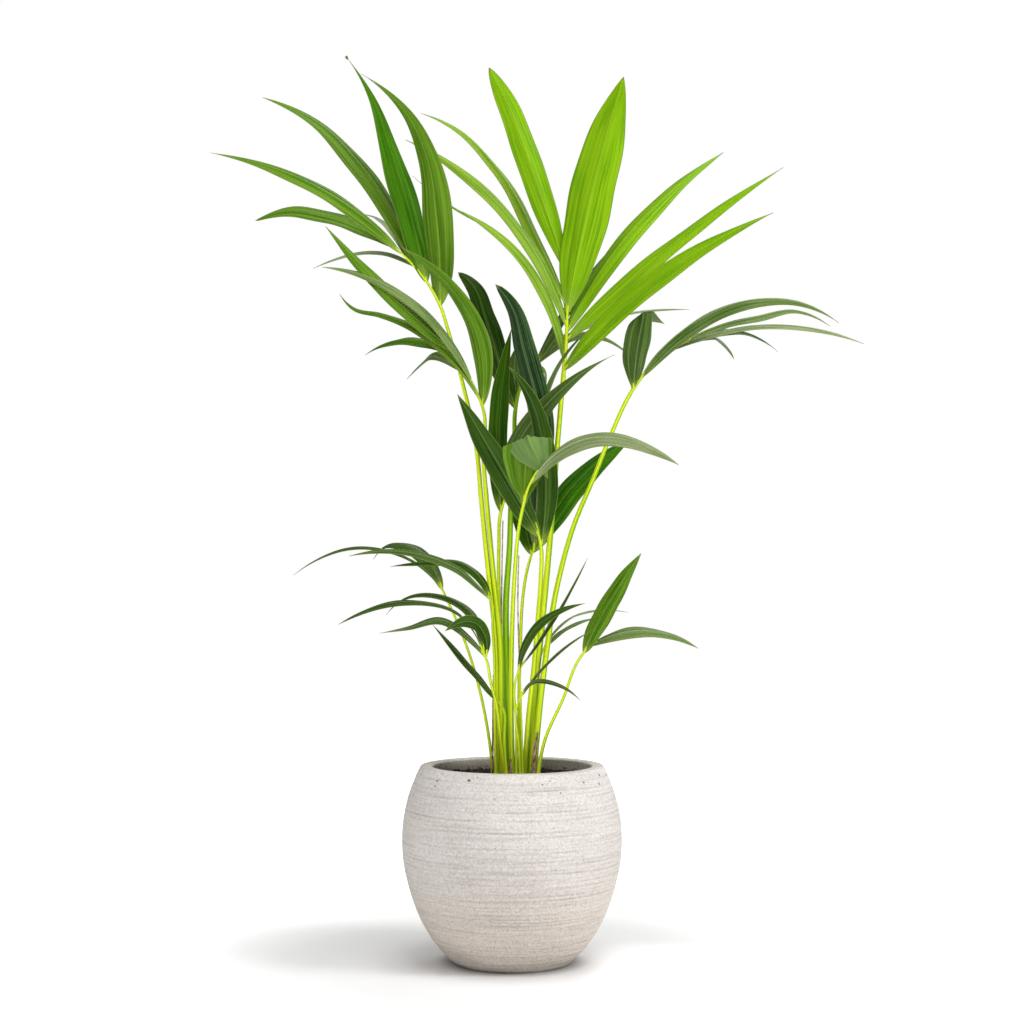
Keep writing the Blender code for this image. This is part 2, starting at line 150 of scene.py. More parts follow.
FRONDS = (
    Frond(
        "top_left", (2.8, 2.0),
        (FORK_LEFT, (-46, -30, 637), (-57, -34, 685), (-78, -41, 762), (-84, -44, 781)),
        ((-118, -50, 833), (-143, -52, 856)),
        (
            Leaflet(0.05, 37, 20, Tone.MID,
                    ((-89, -57, 889), (-99, -66, 955), (-124, -72, 1008), (-178, -80, 1054)),
                    taper=1.45),
            Leaflet(0.38, 35, 30, Tone.LUSH,
                    ((-130, -42, 922), (-149, -38, 982), (-169, -34, 1039), (-200, -30, 1088)),
                    taper=1.5, bead=1.9),
            Leaflet(0.55, 30, 40, Tone.MID, ((-178, -20, 949), (-236, 0, 1013), (-307, 20, 1051))),
            Leaflet(0.85, 25, 50, Tone.MID, ((-230, -75, 920), (-352, -95, 957)), taper=1.1),
            Leaflet(0.95, 29, 44, Tone.MID,
                    ((-217, -30, 894), (-268, -22, 903), (-311, -10, 893)), taper=0.6),
            Leaflet(0.62, 19, 62, Tone.PALE, ((-183, 20, 859), (-248, 60, 846))),
            Leaflet(0.72, 20, 60, Tone.PALE, ((-156, 40, 898), (-190, 115, 924))),
        ),
    ),
    Frond(
        "upper_left", (2.8, 2.0),
        (FORK_RIGHT, (-34, -30, 601), (-33.5, -36, 658)),
        ((-50, -46, 697), (-72, -58, 731)),
        (
            Leaflet(0.10, 25, 25, Tone.MID, ((-45, -62, 759), (-131, -85, 849)), taper=1.1),
            Leaflet(0.97, 22, 40, Tone.MID, ((-134, -85, 783), (-216, -110, 868))),
            Leaflet(0.40, 20, 62, Tone.SHEENED, ((-102, -75, 771), (-143, -90, 800), (-219, -120, 819))),
            Leaflet(0.20, 18, 60, Tone.MID,
                    ((-114, -66, 755), (-155, -70, 771), (-187, -70, 778), (-203, -70, 795))),
            Leaflet(0.92, 22, 52, Tone.MID, ((-124, -40, 744), (-178, -5, 730))),
            Leaflet(0.60, 20, 30, Tone.SHEENED, ((-86, -42, 727), (-108, 0, 721), (-129, 25, 704))),
        ),
    ),
    Frond(
        "top_right", (4.4, 3.0),
        (
            (21.5, 3, STALK_FOOT), (29, 5, 335), (37, 8, 411), (46.5, 13, 510),
            (54, 18, 604), (61, 22, 686), (63, 23, 707),
        ),
        ((68, 27, 790), (66, 30, 853)),
        (
            Leaflet(0.90, 33, 8, Tone.BRIGHT,
                    ((34, 20, 933), (-3, 5, 1033), (-28, -10, 1080)),
                    spread=0.75, taper=0.66),
            Leaflet(0.55, 57, 5, Tone.BRIGHT, ((97, 10, 928), (135, -20, 1066)), spread=0.8, taper=0.85),
            Leaflet(0.60, 24, 50, Tone.FRESH,
                    ((33, 38, 872), (-18, 52, 967), (-66, 57, 1018), (-114, 60, 1041))),
            Leaflet(0.42, 23, 50, Tone.FRESH, ((-4, 0, 899), (-69, -20, 956), (-128, -35, 986))),
            Leaflet(0.24, 17, 75, Tone.FRESH, ((-14, 35, 883), (-77, 20, 918), (-122, 10, 952))),
            Leaflet(0.12, 18, 50, Tone.FRESH, ((24, -15, 830), (-60, -60, 895))),
            Leaflet(0.38, 29, 35, Tone.BRIGHT, ((151, 60, 893), (270, 110, 1003))),
            Leaflet(0.31, 26, 35, Tone.BRIGHT, ((188, 0, 859), (329, -10, 958)), taper=1.2),
            Leaflet(0.06, 28, 35, Tone.BRIGHT, ((176, -60, 818), (303, -110, 884)), taper=1.1),
        ),
    ),
    Frond(
        "right", (4.0, 2.4),
        (
            (26, -8, STALK_FOOT), (34, -4, 310), (42, 3, 373), (54, 12, 446),
            (77, 24, 528), (99, 32, 580), (123, 40, 639), (147, 46, 689),
        ),
        ((170, 52, 720), (220, 60, 755)),
        (
            Leaflet(0.06, 33, 10, Tone.GREY, ((152, 26, 733), (171, 16, 820)), spread=0.9, taper=1.1,
                    fold=Fold(0.68, 34, -160, 6.0)),
            Leaflet(0.25, 26, 55, Tone.SHEENED,
                    ((220, 46, 769), (303, 28, 801), (352, 14, 796), (397, 0, 770)),
                    taper=1.2, cup=1.7),
            Leaflet(0.97, 19, 58, Tone.SHEENED,
                    ((258, 80, 775), (308, 80, 787), (355, 76, 795), (398, 70, 775))),
            Leaflet(0.75, 18, 70, Tone.PALE, ((308, 20, 769), (424, -20, 742))),
            Leaflet(0.88, 18, 52, Tone.GREY, ((258, 100, 763), (286, 140, 741))),
            Leaflet(0.95, 20, 50, Tone.GREY, ((286, 105, 773), (344, 150, 752))),
        ),
    ),
    Frond(
        "middle_front", (3.6, 2.5),
        (
            (15.7, -6, STALK_FOOT), (19, -8, 281), (27, -12, 360), (31, -18, 411),
            (34.7, -26, 463), (35, -30, 494),
        ),
        ((28, -36, 527),),
        (
            Leaflet(0.12, 27, 20, Tone.DARK, ((39, -44, 606), (28, -48, 661), (-4, -55, 711))),
            Leaflet(0.50, 32, 20, Tone.DARK, ((-14, -60, 590), (-64, -80, 676))),
        ),
    ),
    Frond(
        "middle_back", (5.0, 2.6),
        (
            (-1, 8, STALK_FOOT), (-6, 9, 337), (-7.3, 14, 433), (-3, 20, 498),
            (-1, 27, 559), (3, 38, 630), (4, 46, 667),
        ),
        ((11, 52, 698), (31, 66, 729)),
        (
            Leaflet(0.05, 31, 15, Tone.DARK,
                    ((-17, 58, 731), (-34, 70, 788), (-47, 80, 824), (-68, 90, 846)),
                    taper=0.6),
            Leaflet(0.15, 18, 30, Tone.GREY, ((2, 62, 705), (6, 85, 752))),
            Leaflet(0.97, 16, 40, Tone.GREY, ((66, 85, 792), (117, 120, 871))),
            Leaflet(0.90, 24, 38, Tone.SHEENED, ((99, 110, 770), (164, 140, 734))),
            Leaflet(0.92, 14, 30, Tone.MID, ((40, 82, 722), (41, 96, 694))),
            Leaflet(0.94, 20, 75, Tone.SHEENED, ((113, 150, 791), (237, 230, 818))),
        ),
        True,
    ),
    Frond(
        "middle_left", (2.8, 2.1),
        (
            (-8, 17, STALK_FOOT), (-12, 15, 330), (-16, 12, 440), (-16, 10, 498),
            (-14, 8, 538),
        ),
        ((-6, 4, 562),),
        (
            Leaflet(0.12, 26, 20, Tone.DEEP, ((-16, 2, 649), (-1, 0, 762))),
            Leaflet(0.92, 30, 20, Tone.GREY,
                    ((9, -8, 624), (45, -22, 672), (72, -27, 697), (123, -30, 728)),
                    spread=0.5, taper=1.5),
        ),
    ),
    Frond(
        "front", (3.6, 2.0),
        (
            (0.5, -12, STALK_FOOT), (-1, -16, 287), (0, -34, 398), (3, -56, 463),
            (9, -84, 525), (13, -95, 544),
        ),
        ((18, -106, 563), (30, -118, 585)),
        (
            Leaflet(0.10, 57, 0, Tone.MID, ((15, -104, 580), (27.5, -114, 674)), spread=1.25, taper=1.35,
                    fold=Fold(0.565, 15, 172, 2.0), cup=-1.0),
            Leaflet(0.60, 20, 50, Tone.PALE,
                    ((96, -150, 619), (160, -165, 604), (187, -170, 588)), cup=1.8),
        ),
    ),
    Frond(
        "middle_right", (2.3, 1.8),
        (
            (11, 9, STALK_FOOT), (8.5, 11, 310), (10, 14, 372), (13.5, 20, 439),
            (17, 23, 463), (22, 26, 483),
        ),
        ((28, 31, 498),),
        (
            Leaflet(0.40, 26, 20, Tone.DEEP, ((12, 45, 538), (-5, 60, 613))),
            Leaflet(0.60, 34, 20, Tone.LUSH, ((82, 62, 579), (150, 100, 635))),
            Leaflet(0.80, 30, 15, Tone.INKY,
                    ((31, 10, 560), (36, 2, 640), (13, -6, 742), (1, -10, 787), (-20, -14, 815)),
                    spread=0.8, taper=0.6, cup=2.0),
            Leaflet(0.90, 16, 60, Tone.GREY, ((40, 18, 677), (64, 10, 730), (102, 8, 769))),
        ),
    ),
    Frond(
        "low_left", (2.0, 1.5),
        (
            (-23, 8, STALK_FOOT), (-30, 12, 279), (-48, 19, 355), (-61, 24, 392),
            (-83, 30, 441),
        ),
        ((-92, 33, 460),),
        (
            Leaflet(0.30, 25, 42, Tone.GREY, ((-124, 50, 497), (-148, 62, 502), (-174, 85, 483))),
            Leaflet(0.25, 8, 65, Tone.GREY, ((-110, 30, 473), (-173, 20, 497), (-263, -10, 464))),
        ),
    ),
    Frond(
        "low_left_upper", (2.0, 1.6),
        (
            (-19, -14, STALK_FOOT), (-20.5, -17, 300), (-21, -21, 362),
            (-23, -36, 411), (-22.6, -41, 427),
        ),
        ((-28, -44, 441),),
        (
            Leaflet(0.60, 17, 45, Tone.DEEP,
                    ((-37, -38, 459), (-60, -30, 477), (-98, -20, 479), (-147, -5, 474))),
            Leaflet(0.50, 11, 55, Tone.GREY,
                    ((-39, -54, 449), (-62, -64, 469), (-105, -80, 487), (-188, -110, 486))),
        ),
    ),
    Frond(
        "low_left_front", (2.0, 1.6),
        (
            (-8, -14, STALK_FOOT), (-13, -20, 264), (-19, -32, 312), (-25.5, -40, 338),
            (-30, -48, 363),
        ),
        ((-35.5, -52, 375),),
        (
            Leaflet(0.30, 16, 10, Tone.DARK,
                    ((-30, -47, 385), (-40, -56, 405), (-78, -85, 399)), 60, spread=1.0),
            Leaflet(0.40, 12, 55, Tone.GREY,
                    ((-52, -56, 391), (-84, -68, 411), (-122, -80, 402), (-153, -95, 397)),
                    taper=1.2),
            Leaflet(0.70, 18, 45, Tone.GREY,
                    ((-52, -30, 421), (-90, -20, 440), (-126, -10, 437), (-152, 0, 416))),
            Leaflet(0.80, 15, 48, Tone.GREY, ((-63, -40, 417), (-134, -20, 431), (-207, -30, 405)),
                    spread=1.8),
        ),
    ),
    Frond(
        "low_left_small", (1.8, 1.4),
        ((-6.5, -24.5, STALK_FOOT), (-9, -25, 265), (-12.5, -22.5, 308)),
        ((-20, -25, 315.5),),
        (Leaflet(0.50, 14, 60, Tone.DARK, ((-50, -34, 354), (-94, -42, 405))),),
    ),
    Frond(
        "low_right", (2.3, 1.6),
        ((31, -20, STALK_FOOT), (39, -16, 265), (61, -8, 314), (85, 0, 368)),
        ((98, 4, 381),),
        (
            Leaflet(0.15, 24, 20, Tone.MID, ((116, -10, 429), (155, -20, 490))),
            Leaflet(0.80, 20, 55, Tone.SHEENED, ((155, 0, 396), (226, 10, 375))),
        ),
    ),
    Frond(
        "low_right_back", (1.8, 1.4),
        ((20, 16, STALK_FOOT), (22, 19, 290), (35.5, 26, 366)),
        ((42, 34, 380),),
        (
            Leaflet(0.50, 14, 65, Tone.SHEENED, ((72, 50, 401), (118, 80, 409))),
            Leaflet(0.90, 10, 75, Tone.PALE, ((86, 90, 415), (148, 130, 416))),
        ),
    ),
    Frond(
        "low_front", (1.9, 1.4),
        ((5.5, -19, STALK_FOOT), (5, -28, 285), (6, -40, 345)),
        ((13, -42, 359.5),),
        (
            Leaflet(0.30, 12, 45, Tone.DARK, ((25, -60, 398), (85, -80, 431))),
            Leaflet(0.80, 9, 65, Tone.GREY, ((48, -50, 410), (90, -30, 484))),
        ),
    ),
    Frond(
        "low_front_small", (1.7, 1.3),
        ((10, -25, STALK_FOOT), (8, -33, 262), (5.5, -44, 308)),
        ((10.7, -48, 321),),
        (
            Leaflet(0.60, 4.5, 50, Tone.DARK, ((47, -70, 366), (94, -100, 401))),
            Leaflet(0.90, 5.5, 45, Tone.GREY, ((25, -60, 338), (50, -75, 337), (79, -95, 319))),
        ),
    ),
)

# Dry sheaths and the dead tips of old stalks: name, radii and points
DRY_PIECES = (
    ("dry_sheath_right", (4.2, 0.9), ((25.5, -16.5, STALK_FOOT), (27, -16, 242), (30.5, -13, 276))),
    ("dry_sheath_middle", (3.2, 1.2), ((-2, -19, STALK_FOOT), (-1.5, -21, 244))),
    ("dry_sheath_left", (1.5, 0.7), ((-23.5, -3, STALK_FOOT), (-22.5, -8, 343))),
    (
        "dry_tip_left", (1.5, 0.7),
        ((-14, 12, STALK_FOOT), (-13.2, 9, 330), (-12.5, 6, 440), (-11, 5, 530)),
    ),
    (
        "dry_tip_front", (1.4, 0.7),
        ((13, -17, STALK_FOOT), (9.5, -28, 349), (7, -43, 430), (8.2, -60, 487)),
    ),
)

# The share of an old stalk that is still green below its dead tip
GREEN_SHARES = {"dry_tip_left": 0.70, "dry_tip_front": 0.66}


class SmoothPath:
    """A smooth curve through a few points, read by its share of length from 0 to 1."""

    def __init__(self, points: tuple[Place, ...]) -> None:
        """Take the points in millimetres, from the root to the tip."""
        self.points = [Vector(p) for p in points]
        self.spans = [(b - a).length for a, b in zip(self.points, self.points[1:])]
        self.slopes = self._slopes()
        self.length = sum(self.spans)

    def _slopes(self) -> list[Vector]:
        """The curve's direction at each point, as a parabola through its neighbours has it."""
        steps = [(b - a) / h for a, b, h in zip(self.points, self.points[1:], self.spans)]
        if len(steps) == 1:
            return [steps[0], steps[0]]
        inner = [
            (steps[i + 1] * self.spans[i] + steps[i] * self.spans[i + 1])
            / (self.spans[i] + self.spans[i + 1])
            for i in range(len(steps) - 1)
        ]
        return [2 * steps[0] - inner[0], *inner, 2 * steps[-1] - inner[-1]]

    def share_at(self, index: int) -> float:
        """The share of length at which the curve passes one of its points."""
        return sum(self.spans[:index]) / self.length

    def at(self, share: float) -> tuple[Vector, Vector]:
        """Read the curve.

        Args:
            share: how far along the curve, from 0 to 1.

        Returns:
            The place on the curve, and its direction there.
        """
        left = min(max(share, 0.0), 1.0) * self.length
        i = 0
        while i < len(self.spans) - 1 and left > self.spans[i]:
            left -= self.spans[i]
            i += 1
        h = self.spans[i]
        u = min(left / h, 1.0)
        a, b = self.points[i], self.points[i + 1]
        m, n = self.slopes[i] * h, self.slopes[i + 1] * h
        place = (
            a * (2 * u**3 - 3 * u**2 + 1) + m * (u**3 - 2 * u**2 + u)
            + b * (3 * u**2 - 2 * u**3) + n * (u**3 - u**2)
        )
        way = (
            (b - a) * (6 * u - 6 * u**2) + m * (3 * u**2 - 4 * u + 1)
            + n * (3 * u**2 - 2 * u)
        )
        return place, way.normalized()


class MeshDraft:
    """Grids of points gathered into one mesh, with values for the finishes to read."""

    def __init__(self) -> None:
        """Start with nothing in the mesh."""
        self.places: list[np.ndarray] = []
        self.faces: list[tuple[int, ...]] = []
        self.slots: list[int] = []
        self.values: dict[str, list[np.ndarray]] = {"course": [], "form": []}
        self.count = 0

    def add_points(self, places: np.ndarray, course: Grid = 0.0, form: Grid = 0.0) -> np.ndarray:
        """Add points that faces can use.

        Args:
            places: the points in millimetres, in any shape that ends in 3.
            course: three values a point, such as the place across and along a leaflet.
            form: three more values a point.

        Returns:
            The number of each point in the mesh, in the shape of the points.
        """
        shape = places.shape[:-1]
        total = int(np.prod(shape))
        self.places.append(places.reshape(total, 3) * MM)
        self.values["course"].append(np.broadcast_to(course, places.shape).reshape(total, 3))
        self.values["form"].append(np.broadcast_to(form, places.shape).reshape(total, 3))
        numbers = np.arange(self.count, self.count + total).reshape(shape)
        self.count += total
        return numbers

    def add_quads(self, numbers: np.ndarray, slot: int, wrap: bool = False) -> None:
        """Cover a grid of points with faces.

        Args:
            numbers: the grid's point numbers, by row and column.
            slot: the material slot of the faces.
            wrap: whether the last column joins the first.
        """
        grid = np.concatenate([numbers, numbers[:, :1]], axis=1) if wrap else numbers
        quads = np.stack([grid[:-1, :-1], grid[:-1, 1:], grid[1:, 1:], grid[1:, :-1]], axis=-1)
        quads = quads.reshape(-1, 4)
        self.faces.extend(map(tuple, quads.tolist()))
        self.slots.extend([slot] * len(quads))

    def add_tube(self, rings: list[np.ndarray], course: Grid = 0.0, form: Grid = 0.0, slot: int = 0,
                 levels: Pair | None = None) -> None:
        """Add rings of points as a tube, closed at both ends round a middle point.

        Args:
            rings: the points of each ring, in millimetres.
            course: three values a point.
            form: three more values a point.
            slot: the material slot of the faces.
            levels: the heights of the two middle points, where they aren't the rings' own means.
        """
        rings, course, form = np.broadcast_arrays(rings, course, form)
        numbers = self.add_points(rings, course, form)
        self.add_quads(numbers, slot, wrap=True)
        for row in (0, -1):
            middle = rings[row].mean(axis=0)
            if levels:
                middle[2] = levels[row]
            centre = int(self.add_points(middle[None], course[row][:1], form[row][:1])[0])
            before, after = numbers[row].tolist(), np.roll(numbers[row], -1).tolist()
            for a, b in zip(before, after) if row else zip(after, before):
                self.faces.append((a, b, centre))
                self.slots.append(slot)

    def finish(self, name: str, materials: list[bpy.types.Material], crease: float) -> bpy.types.Object:
        """Make the object.

        Args:
            name: the piece's name.
            materials: the piece's materials, by slot.
            crease: the angle in degrees above which an edge stays sharp.

        Returns:
            The new object, linked to the scene.
        """
        mesh = bpy.data.meshes.new(name)
        mesh.from_pydata(np.concatenate(self.places).tolist(), [], self.faces)
        for material in materials:
            mesh.materials.append(material)
        mesh.polygons.foreach_set("material_index", self.slots)
        for key, parts in self.values.items():
            made = mesh.attributes.new(key, "FLOAT_VECTOR", "POINT")
            made.data.foreach_set("vector", np.concatenate(parts).astype(np.float32).ravel())
        mesh.shade_smooth()
        mesh.set_sharp_from_angle(angle=math.radians(crease))
        mesh.update()
        thing = bpy.data.objects.new(name, mesh)
        bpy.context.scene.collection.objects.link(thing)
        return thing


class Signal:
    """A value that runs between a material's nodes, with plain arithmetic."""

    def __init__(self, wiring: "Wiring", socket: bpy.types.NodeSocket) -> None:
        """Hold the output that gives the value."""
        self.wiring = wiring
        self.socket = socket

    def __add__(self, other: Value) -> "Signal":
        """The value with another added."""
        return self.wiring.sum("ADD", self, other)

    def __sub__(self, other: Value) -> "Signal":
        """The value less another."""
        return self.wiring.sum("SUBTRACT", self, other)

    def __mul__(self, other: Value) -> "Signal":
        """The value times another."""
        return self.wiring.sum("MULTIPLY", self, other)

    def __truediv__(self, other: Value) -> "Signal":
        """The value divided by another."""
        return self.wiring.sum("DIVIDE", self, other)

    def __pow__(self, other: Value) -> "Signal":
        """The value raised to a power."""
        return self.wiring.sum("POWER", self, other)

    def __abs__(self) -> "Signal":
        """The value without its sign."""
        return self.wiring.sum("ABSOLUTE", self)


class Wiring:
    """A material's nodes, with short ways to add and join them."""

    def __init__(self, name: str) -> None:
        """Start a material with its shader and output only."""
        self.material = bpy.data.materials.new(name)
        self.material.use_nodes = True
        self.tree = self.material.node_tree
        self.shader = self.tree.nodes["Principled BSDF"]

    def put(self, value: Value | Colour, socket: bpy.types.NodeSocket) -> None:
        """Join a value to a socket, or set the socket to a plain one."""
        if isinstance(value, Signal):
            self.tree.links.new(value.socket, socket)
        else:
            socket.default_value = value

    def add(self, kind: str, *values: Value) -> bpy.types.Node:
        """Add a node with its first inputs filled.

        Args:
            kind: the end of the node type's name.
            values: what its first inputs take.

        Returns:
            The node.
        """
        node = self.tree.nodes.new(f"ShaderNode{kind}")
        for value, socket in zip(values, node.inputs):
            self.put(value, socket)
        return node

    def read(self, name: str) -> list[Signal]:
        """The three parts of one of the mesh's own values."""
        node = self.add("Attribute")
        node.attribute_name = name
        return self.split(Signal(self, node.outputs["Vector"]))

    def split(self, vector: Signal) -> list[Signal]:
        """The X, Y and Z of a vector."""
        return [Signal(self, output) for output in self.add("SeparateXYZ", vector).outputs]

    def join(self, x: Value, y: Value, z: Value) -> Signal:
        """A vector from three values."""
        return Signal(self, self.add("CombineXYZ", x, y, z).outputs[0])

    def place(self) -> Signal:
        """The surface's own place in the frame, in metres."""
        return Signal(self, self.add("TexCoord").outputs["Object"])

    def sum(self, kind: str, *values: Value) -> Signal:
        """One step of arithmetic, named as the Math node names it."""
        node = self.add("Math", *values)
        node.operation = kind
        return Signal(self, node.outputs[0])

    def step(self, value: Value, low: float, high: float, to: Pair = WHOLE) -> Signal:
        """A smooth step of a value between two limits.

        Args:
            value: what is read.
            low: the limit that gives the first result.
            high: the limit that gives the second.
            to: the two results.

        Returns:
            The stepped value.
        """
        node = self.add("MapRange", value, low, high, *to)
        node.interpolation_type = "SMOOTHSTEP"
        return Signal(self, node.outputs[0])

    def blend(self, share: Value, first: Signal | Colour, second: Signal | Colour) -> Signal:
        """A colour between two colours.

        Args:
            share: how much of the second colour shows, from 0 to 1.
            first: the colour where none of the second shows.
            second: the other colour.

        Returns:
            The blended colour.
        """
        node = self.add("Mix", share)
        node.data_type = "RGBA"
        for colour, socket in zip((first, second), node.inputs[6:8]):
            self.put((*colour, 1.0) if isinstance(colour, tuple) else colour, socket)
        return Signal(self, node.outputs[2])

    def coat(self, ground: Signal | Colour, *coats: tuple[Value, Signal | Colour]) -> Signal:
        """Lay coats of colour over one another.

        Args:
            ground: the lowest colour.
            coats: each coat's share that shows, and its colour, from the lowest up.

        Returns:
            The colour seen from above.
        """
        for share, colour in coats:
            ground = self.blend(share, ground, colour)
        return ground

    def noise(self, vector: Signal, scale: float = 1.0, detail: float = 1.0) -> Signal:
        """Soft noise over a vector.

        Args:
            vector: the places at which it is read.
            scale: how many waves a unit of the vector has.
            detail: how many finer layers lie on it.

        Returns:
            The noise, between 0 and 1.
        """
        node = self.add("TexNoise", vector)
        node.inputs["Scale"].default_value = scale
        node.inputs["Detail"].default_value = detail
        return Signal(self, node.outputs["Fac"])

    def cells(self, vector: Signal, scale: float) -> tuple[Signal, Signal]:
        """Scattered points.

        Args:
            vector: the places at which they are read.
            scale: how many points a unit of the vector has.

        Returns:
            The distance to the nearest point, and a value of that point's own.
        """
        node = self.add("TexVoronoi", vector)
        node.inputs["Scale"].default_value = scale
        own = self.split(Signal(self, node.outputs["Color"]))[0]
        return Signal(self, node.outputs["Distance"]), own

    def surface(self, colour: Signal, rough: Value, gloss: float, tint: Colour = (1.0, 1.0, 1.0)) -> None:
        """Give the shader its colour and its shine.

        Args:
            colour: the base colour.
            rough: the roughness.
            gloss: the strength of the mirrored light.
            tint: the tint of the mirrored light.
        """
        self.put(colour, self.shader.inputs["Base Color"])
        self.put(rough, self.shader.inputs["Roughness"])
        self.put(gloss, self.shader.inputs["Specular IOR Level"])
        self.put((*tint, 1.0), self.shader.inputs["Specular Tint"])

    def relief(self, height: Signal, depth_mm: float, strength: float) -> None:
        """Give the surface fine relief.

        Args:
            height: the height, between 0 and 1.
            depth_mm: the depth from the lowest to the highest place.
            strength: how strongly it shows.
        """
        node = self.add("Bump", strength, depth_mm * MM)
        self.put(height, node.inputs["Height"])
        self.put(Signal(self, node.outputs[0]), self.shader.inputs["Normal"])


@dataclass(frozen=True)
class LeafFinish:
    """The look of one face of a leaflet.

    Counts are waves a metre, and lengths are metres where their name doesn't end in mm.
    """

    name: str
    deep: Colour
    light: Colour
    vein: Colour
    rough: float
    margin: Colour = (0.18, 0.22, 0.06)
    base: Colour = (0.28, 0.40, 0.06)
    dry: Colour = (0.20, 0.13, 0.05)
    sheen: Colour = (0.75, 1.0, 0.45)
    gloss: float = 0.35
    bend: float = 1.22
    drift_count: float = 9.0
    drift: float = 0.0016
    streaks_across: float = 330.0
    streaks_along: float = 5.0
    clouds_across: float = 60.0
    clouds_along: float = 17.0
    flecks_across: float = 700.0
    flecks_along: float = 260.0
    vein_spacing: float = 0.0052
    vein_width: float = 0.0006
    vein_strength: float = 0.60
    held_at_tip: float = 0.25
    fine_share: float = 0.65
    midrib_edge: Pair = (0.0003, 0.0008)
    margin_edge: Pair = (0.0002, 0.0009)
    narrow: Pair = (0.30, 0.85)
    relief_mm: float = 0.10

    def lines(self, w: Wiring, course: Signal, spacing: float, shift: Signal) -> Signal:
        """Thin lines along the blade.

        Args:
            w: the material's nodes.
            course: the place across the blade.
            spacing: the distance between two lines.
            shift: a number of the leaflet's own.

        Returns:
            A value near 1 on a line and 0 between lines.
        """
        count = course / spacing + shift * 3.1
        off = abs(w.sum("FRACT", count) - 0.5)
        line = w.step(off, 0.0, self.vein_width / spacing, (1.0, 0.0))
        own = w.noise(w.join(w.sum("FLOOR", count) * 7.3, shift, 0.0), detail=0.0)
        return line * w.step(own, 0.35, 0.62, (0.15, 1.0))

    def material(self) -> bpy.types.Material:
        """Make the leaf's material: veins along the blade, a thin margin and a dry tip.

        Returns:
            The material.
        """
        w = Wiring(self.name)
        across, along, seed = w.read("course")
        share, half, full = w.read("form")
        off_middle = abs(across * half)
        full_width = w.step(half / full, *self.narrow)
        shift = seed * 37.0
        drift = w.noise(w.join(along * self.drift_count, shift, 0.0)) * self.drift
        spread = across * full + drift
        streak = w.noise(w.join(spread * self.streaks_across, along * self.streaks_along, shift))
        cloud = w.noise(w.join(along * self.clouds_along, spread * self.clouds_across, shift))
        fleck = w.noise(w.join(spread * self.flecks_across, along * self.flecks_along, shift))

        near_base = w.step(share, 0.05, 0.60, (1.0, 0.60))
        strength = self.vein_strength
        main = self.lines(w, spread, self.vein_spacing, shift)
        fine = self.lines(w, spread, self.vein_spacing / 2, seed)
        held = full_width * (strength * (1 - self.held_at_tip)) + strength * self.held_at_tip
        veins = w.sum("MAXIMUM", main * held, fine * (full_width * (strength * self.fine_share)))
        even = w.step(streak, 0.36, 0.66) - 0.5
        colour = w.coat(
            self.deep,
            (even * full_width + 0.5, self.light),
            (w.step(cloud, 0.40, 0.68, (0.0, 0.50)), self.light),
            (w.step(cloud, 0.28, 0.46, (0.50, 0.0)), self.deep),
            (veins * near_base, self.vein),
            (w.step(off_middle, *self.midrib_edge, (0.6, 0.0)) * near_base, self.vein),
            (w.step(share, 0.0, 0.13, (0.72, 0.0)) * w.step(streak, 0.3, 0.6, (0.3, 1.0)), self.base),
            (w.step(fleck, 0.62, 0.80, (0.0, 0.20)) * full_width, self.vein),
            (w.step(half - off_middle, *self.margin_edge, (0.75, 0.0)), self.margin),
            (w.step(share + cloud * 0.02, 0.990, 1.005), self.dry),
        )
        rough = w.step(cloud, 0.2, 0.8, (self.rough - 0.08, self.rough + 0.10))
        w.surface(colour, rough, self.gloss, self.sheen)
        w.put(self.bend, w.shader.inputs["IOR"])
        w.relief((streak * 0.6 + main * 0.4) * full_width, self.relief_mm, 0.06)
        return w.material


@dataclass(frozen=True)
class StalkFinish:
    """The look of a living stalk: streaked green, with painted shade down one side."""

    name: str
    light: Colour
    # The darker green of the streaks and of the painted shade down one side
    deep: Colour
    foot: Colour
    dry: Colour = (0.13, 0.075, 0.03)
    sheen: Colour = (0.9, 1.0, 0.5)
    gloss: float = 0.2
    painted_shade_share: float = 0.85
    foot_height: float = 0.05
    streak_counts: Pair = (2.6, 5.0)
    fleck_counts: Pair = (4.0, 90.0)

    def material(self) -> bpy.types.Material:
        """Make the stalk's material.

        Returns:
            The material.
        """
        w = Wiring(self.name)
        _, along, seed = w.read("course")
        cosine, sine, _ = w.read("form")
        around, up = self.streak_counts
        streak = w.noise(w.join(cosine * around, sine * around, along * up + seed * 31.0))
        around, up = self.fleck_counts
        fleck = w.noise(w.join(cosine * around, sine * around, along * up + seed), detail=3.0)
        colour = w.coat(
            self.light,
            # Painted shade: one side of the stalk is darkened to its deep green
            (w.step(cosine + streak * 0.8, 0.78, 1.10, (0.0, self.painted_shade_share)), self.deep),
            (w.step(streak, 0.52, 0.66, (0.0, 0.45)), self.deep),
            (w.step(along, 0.0, self.foot_height, (0.25, 0.0)), self.foot),
            (w.step(fleck, 0.62, 0.70) * w.step(along, 0.0, 0.10, (0.55, 0.05)), self.dry),
        )
        w.surface(colour, w.step(streak, 0.3, 0.7, (0.36, 0.5)), self.gloss, self.sheen)
        w.relief(streak, 0.2, 0.08)
        return w.material


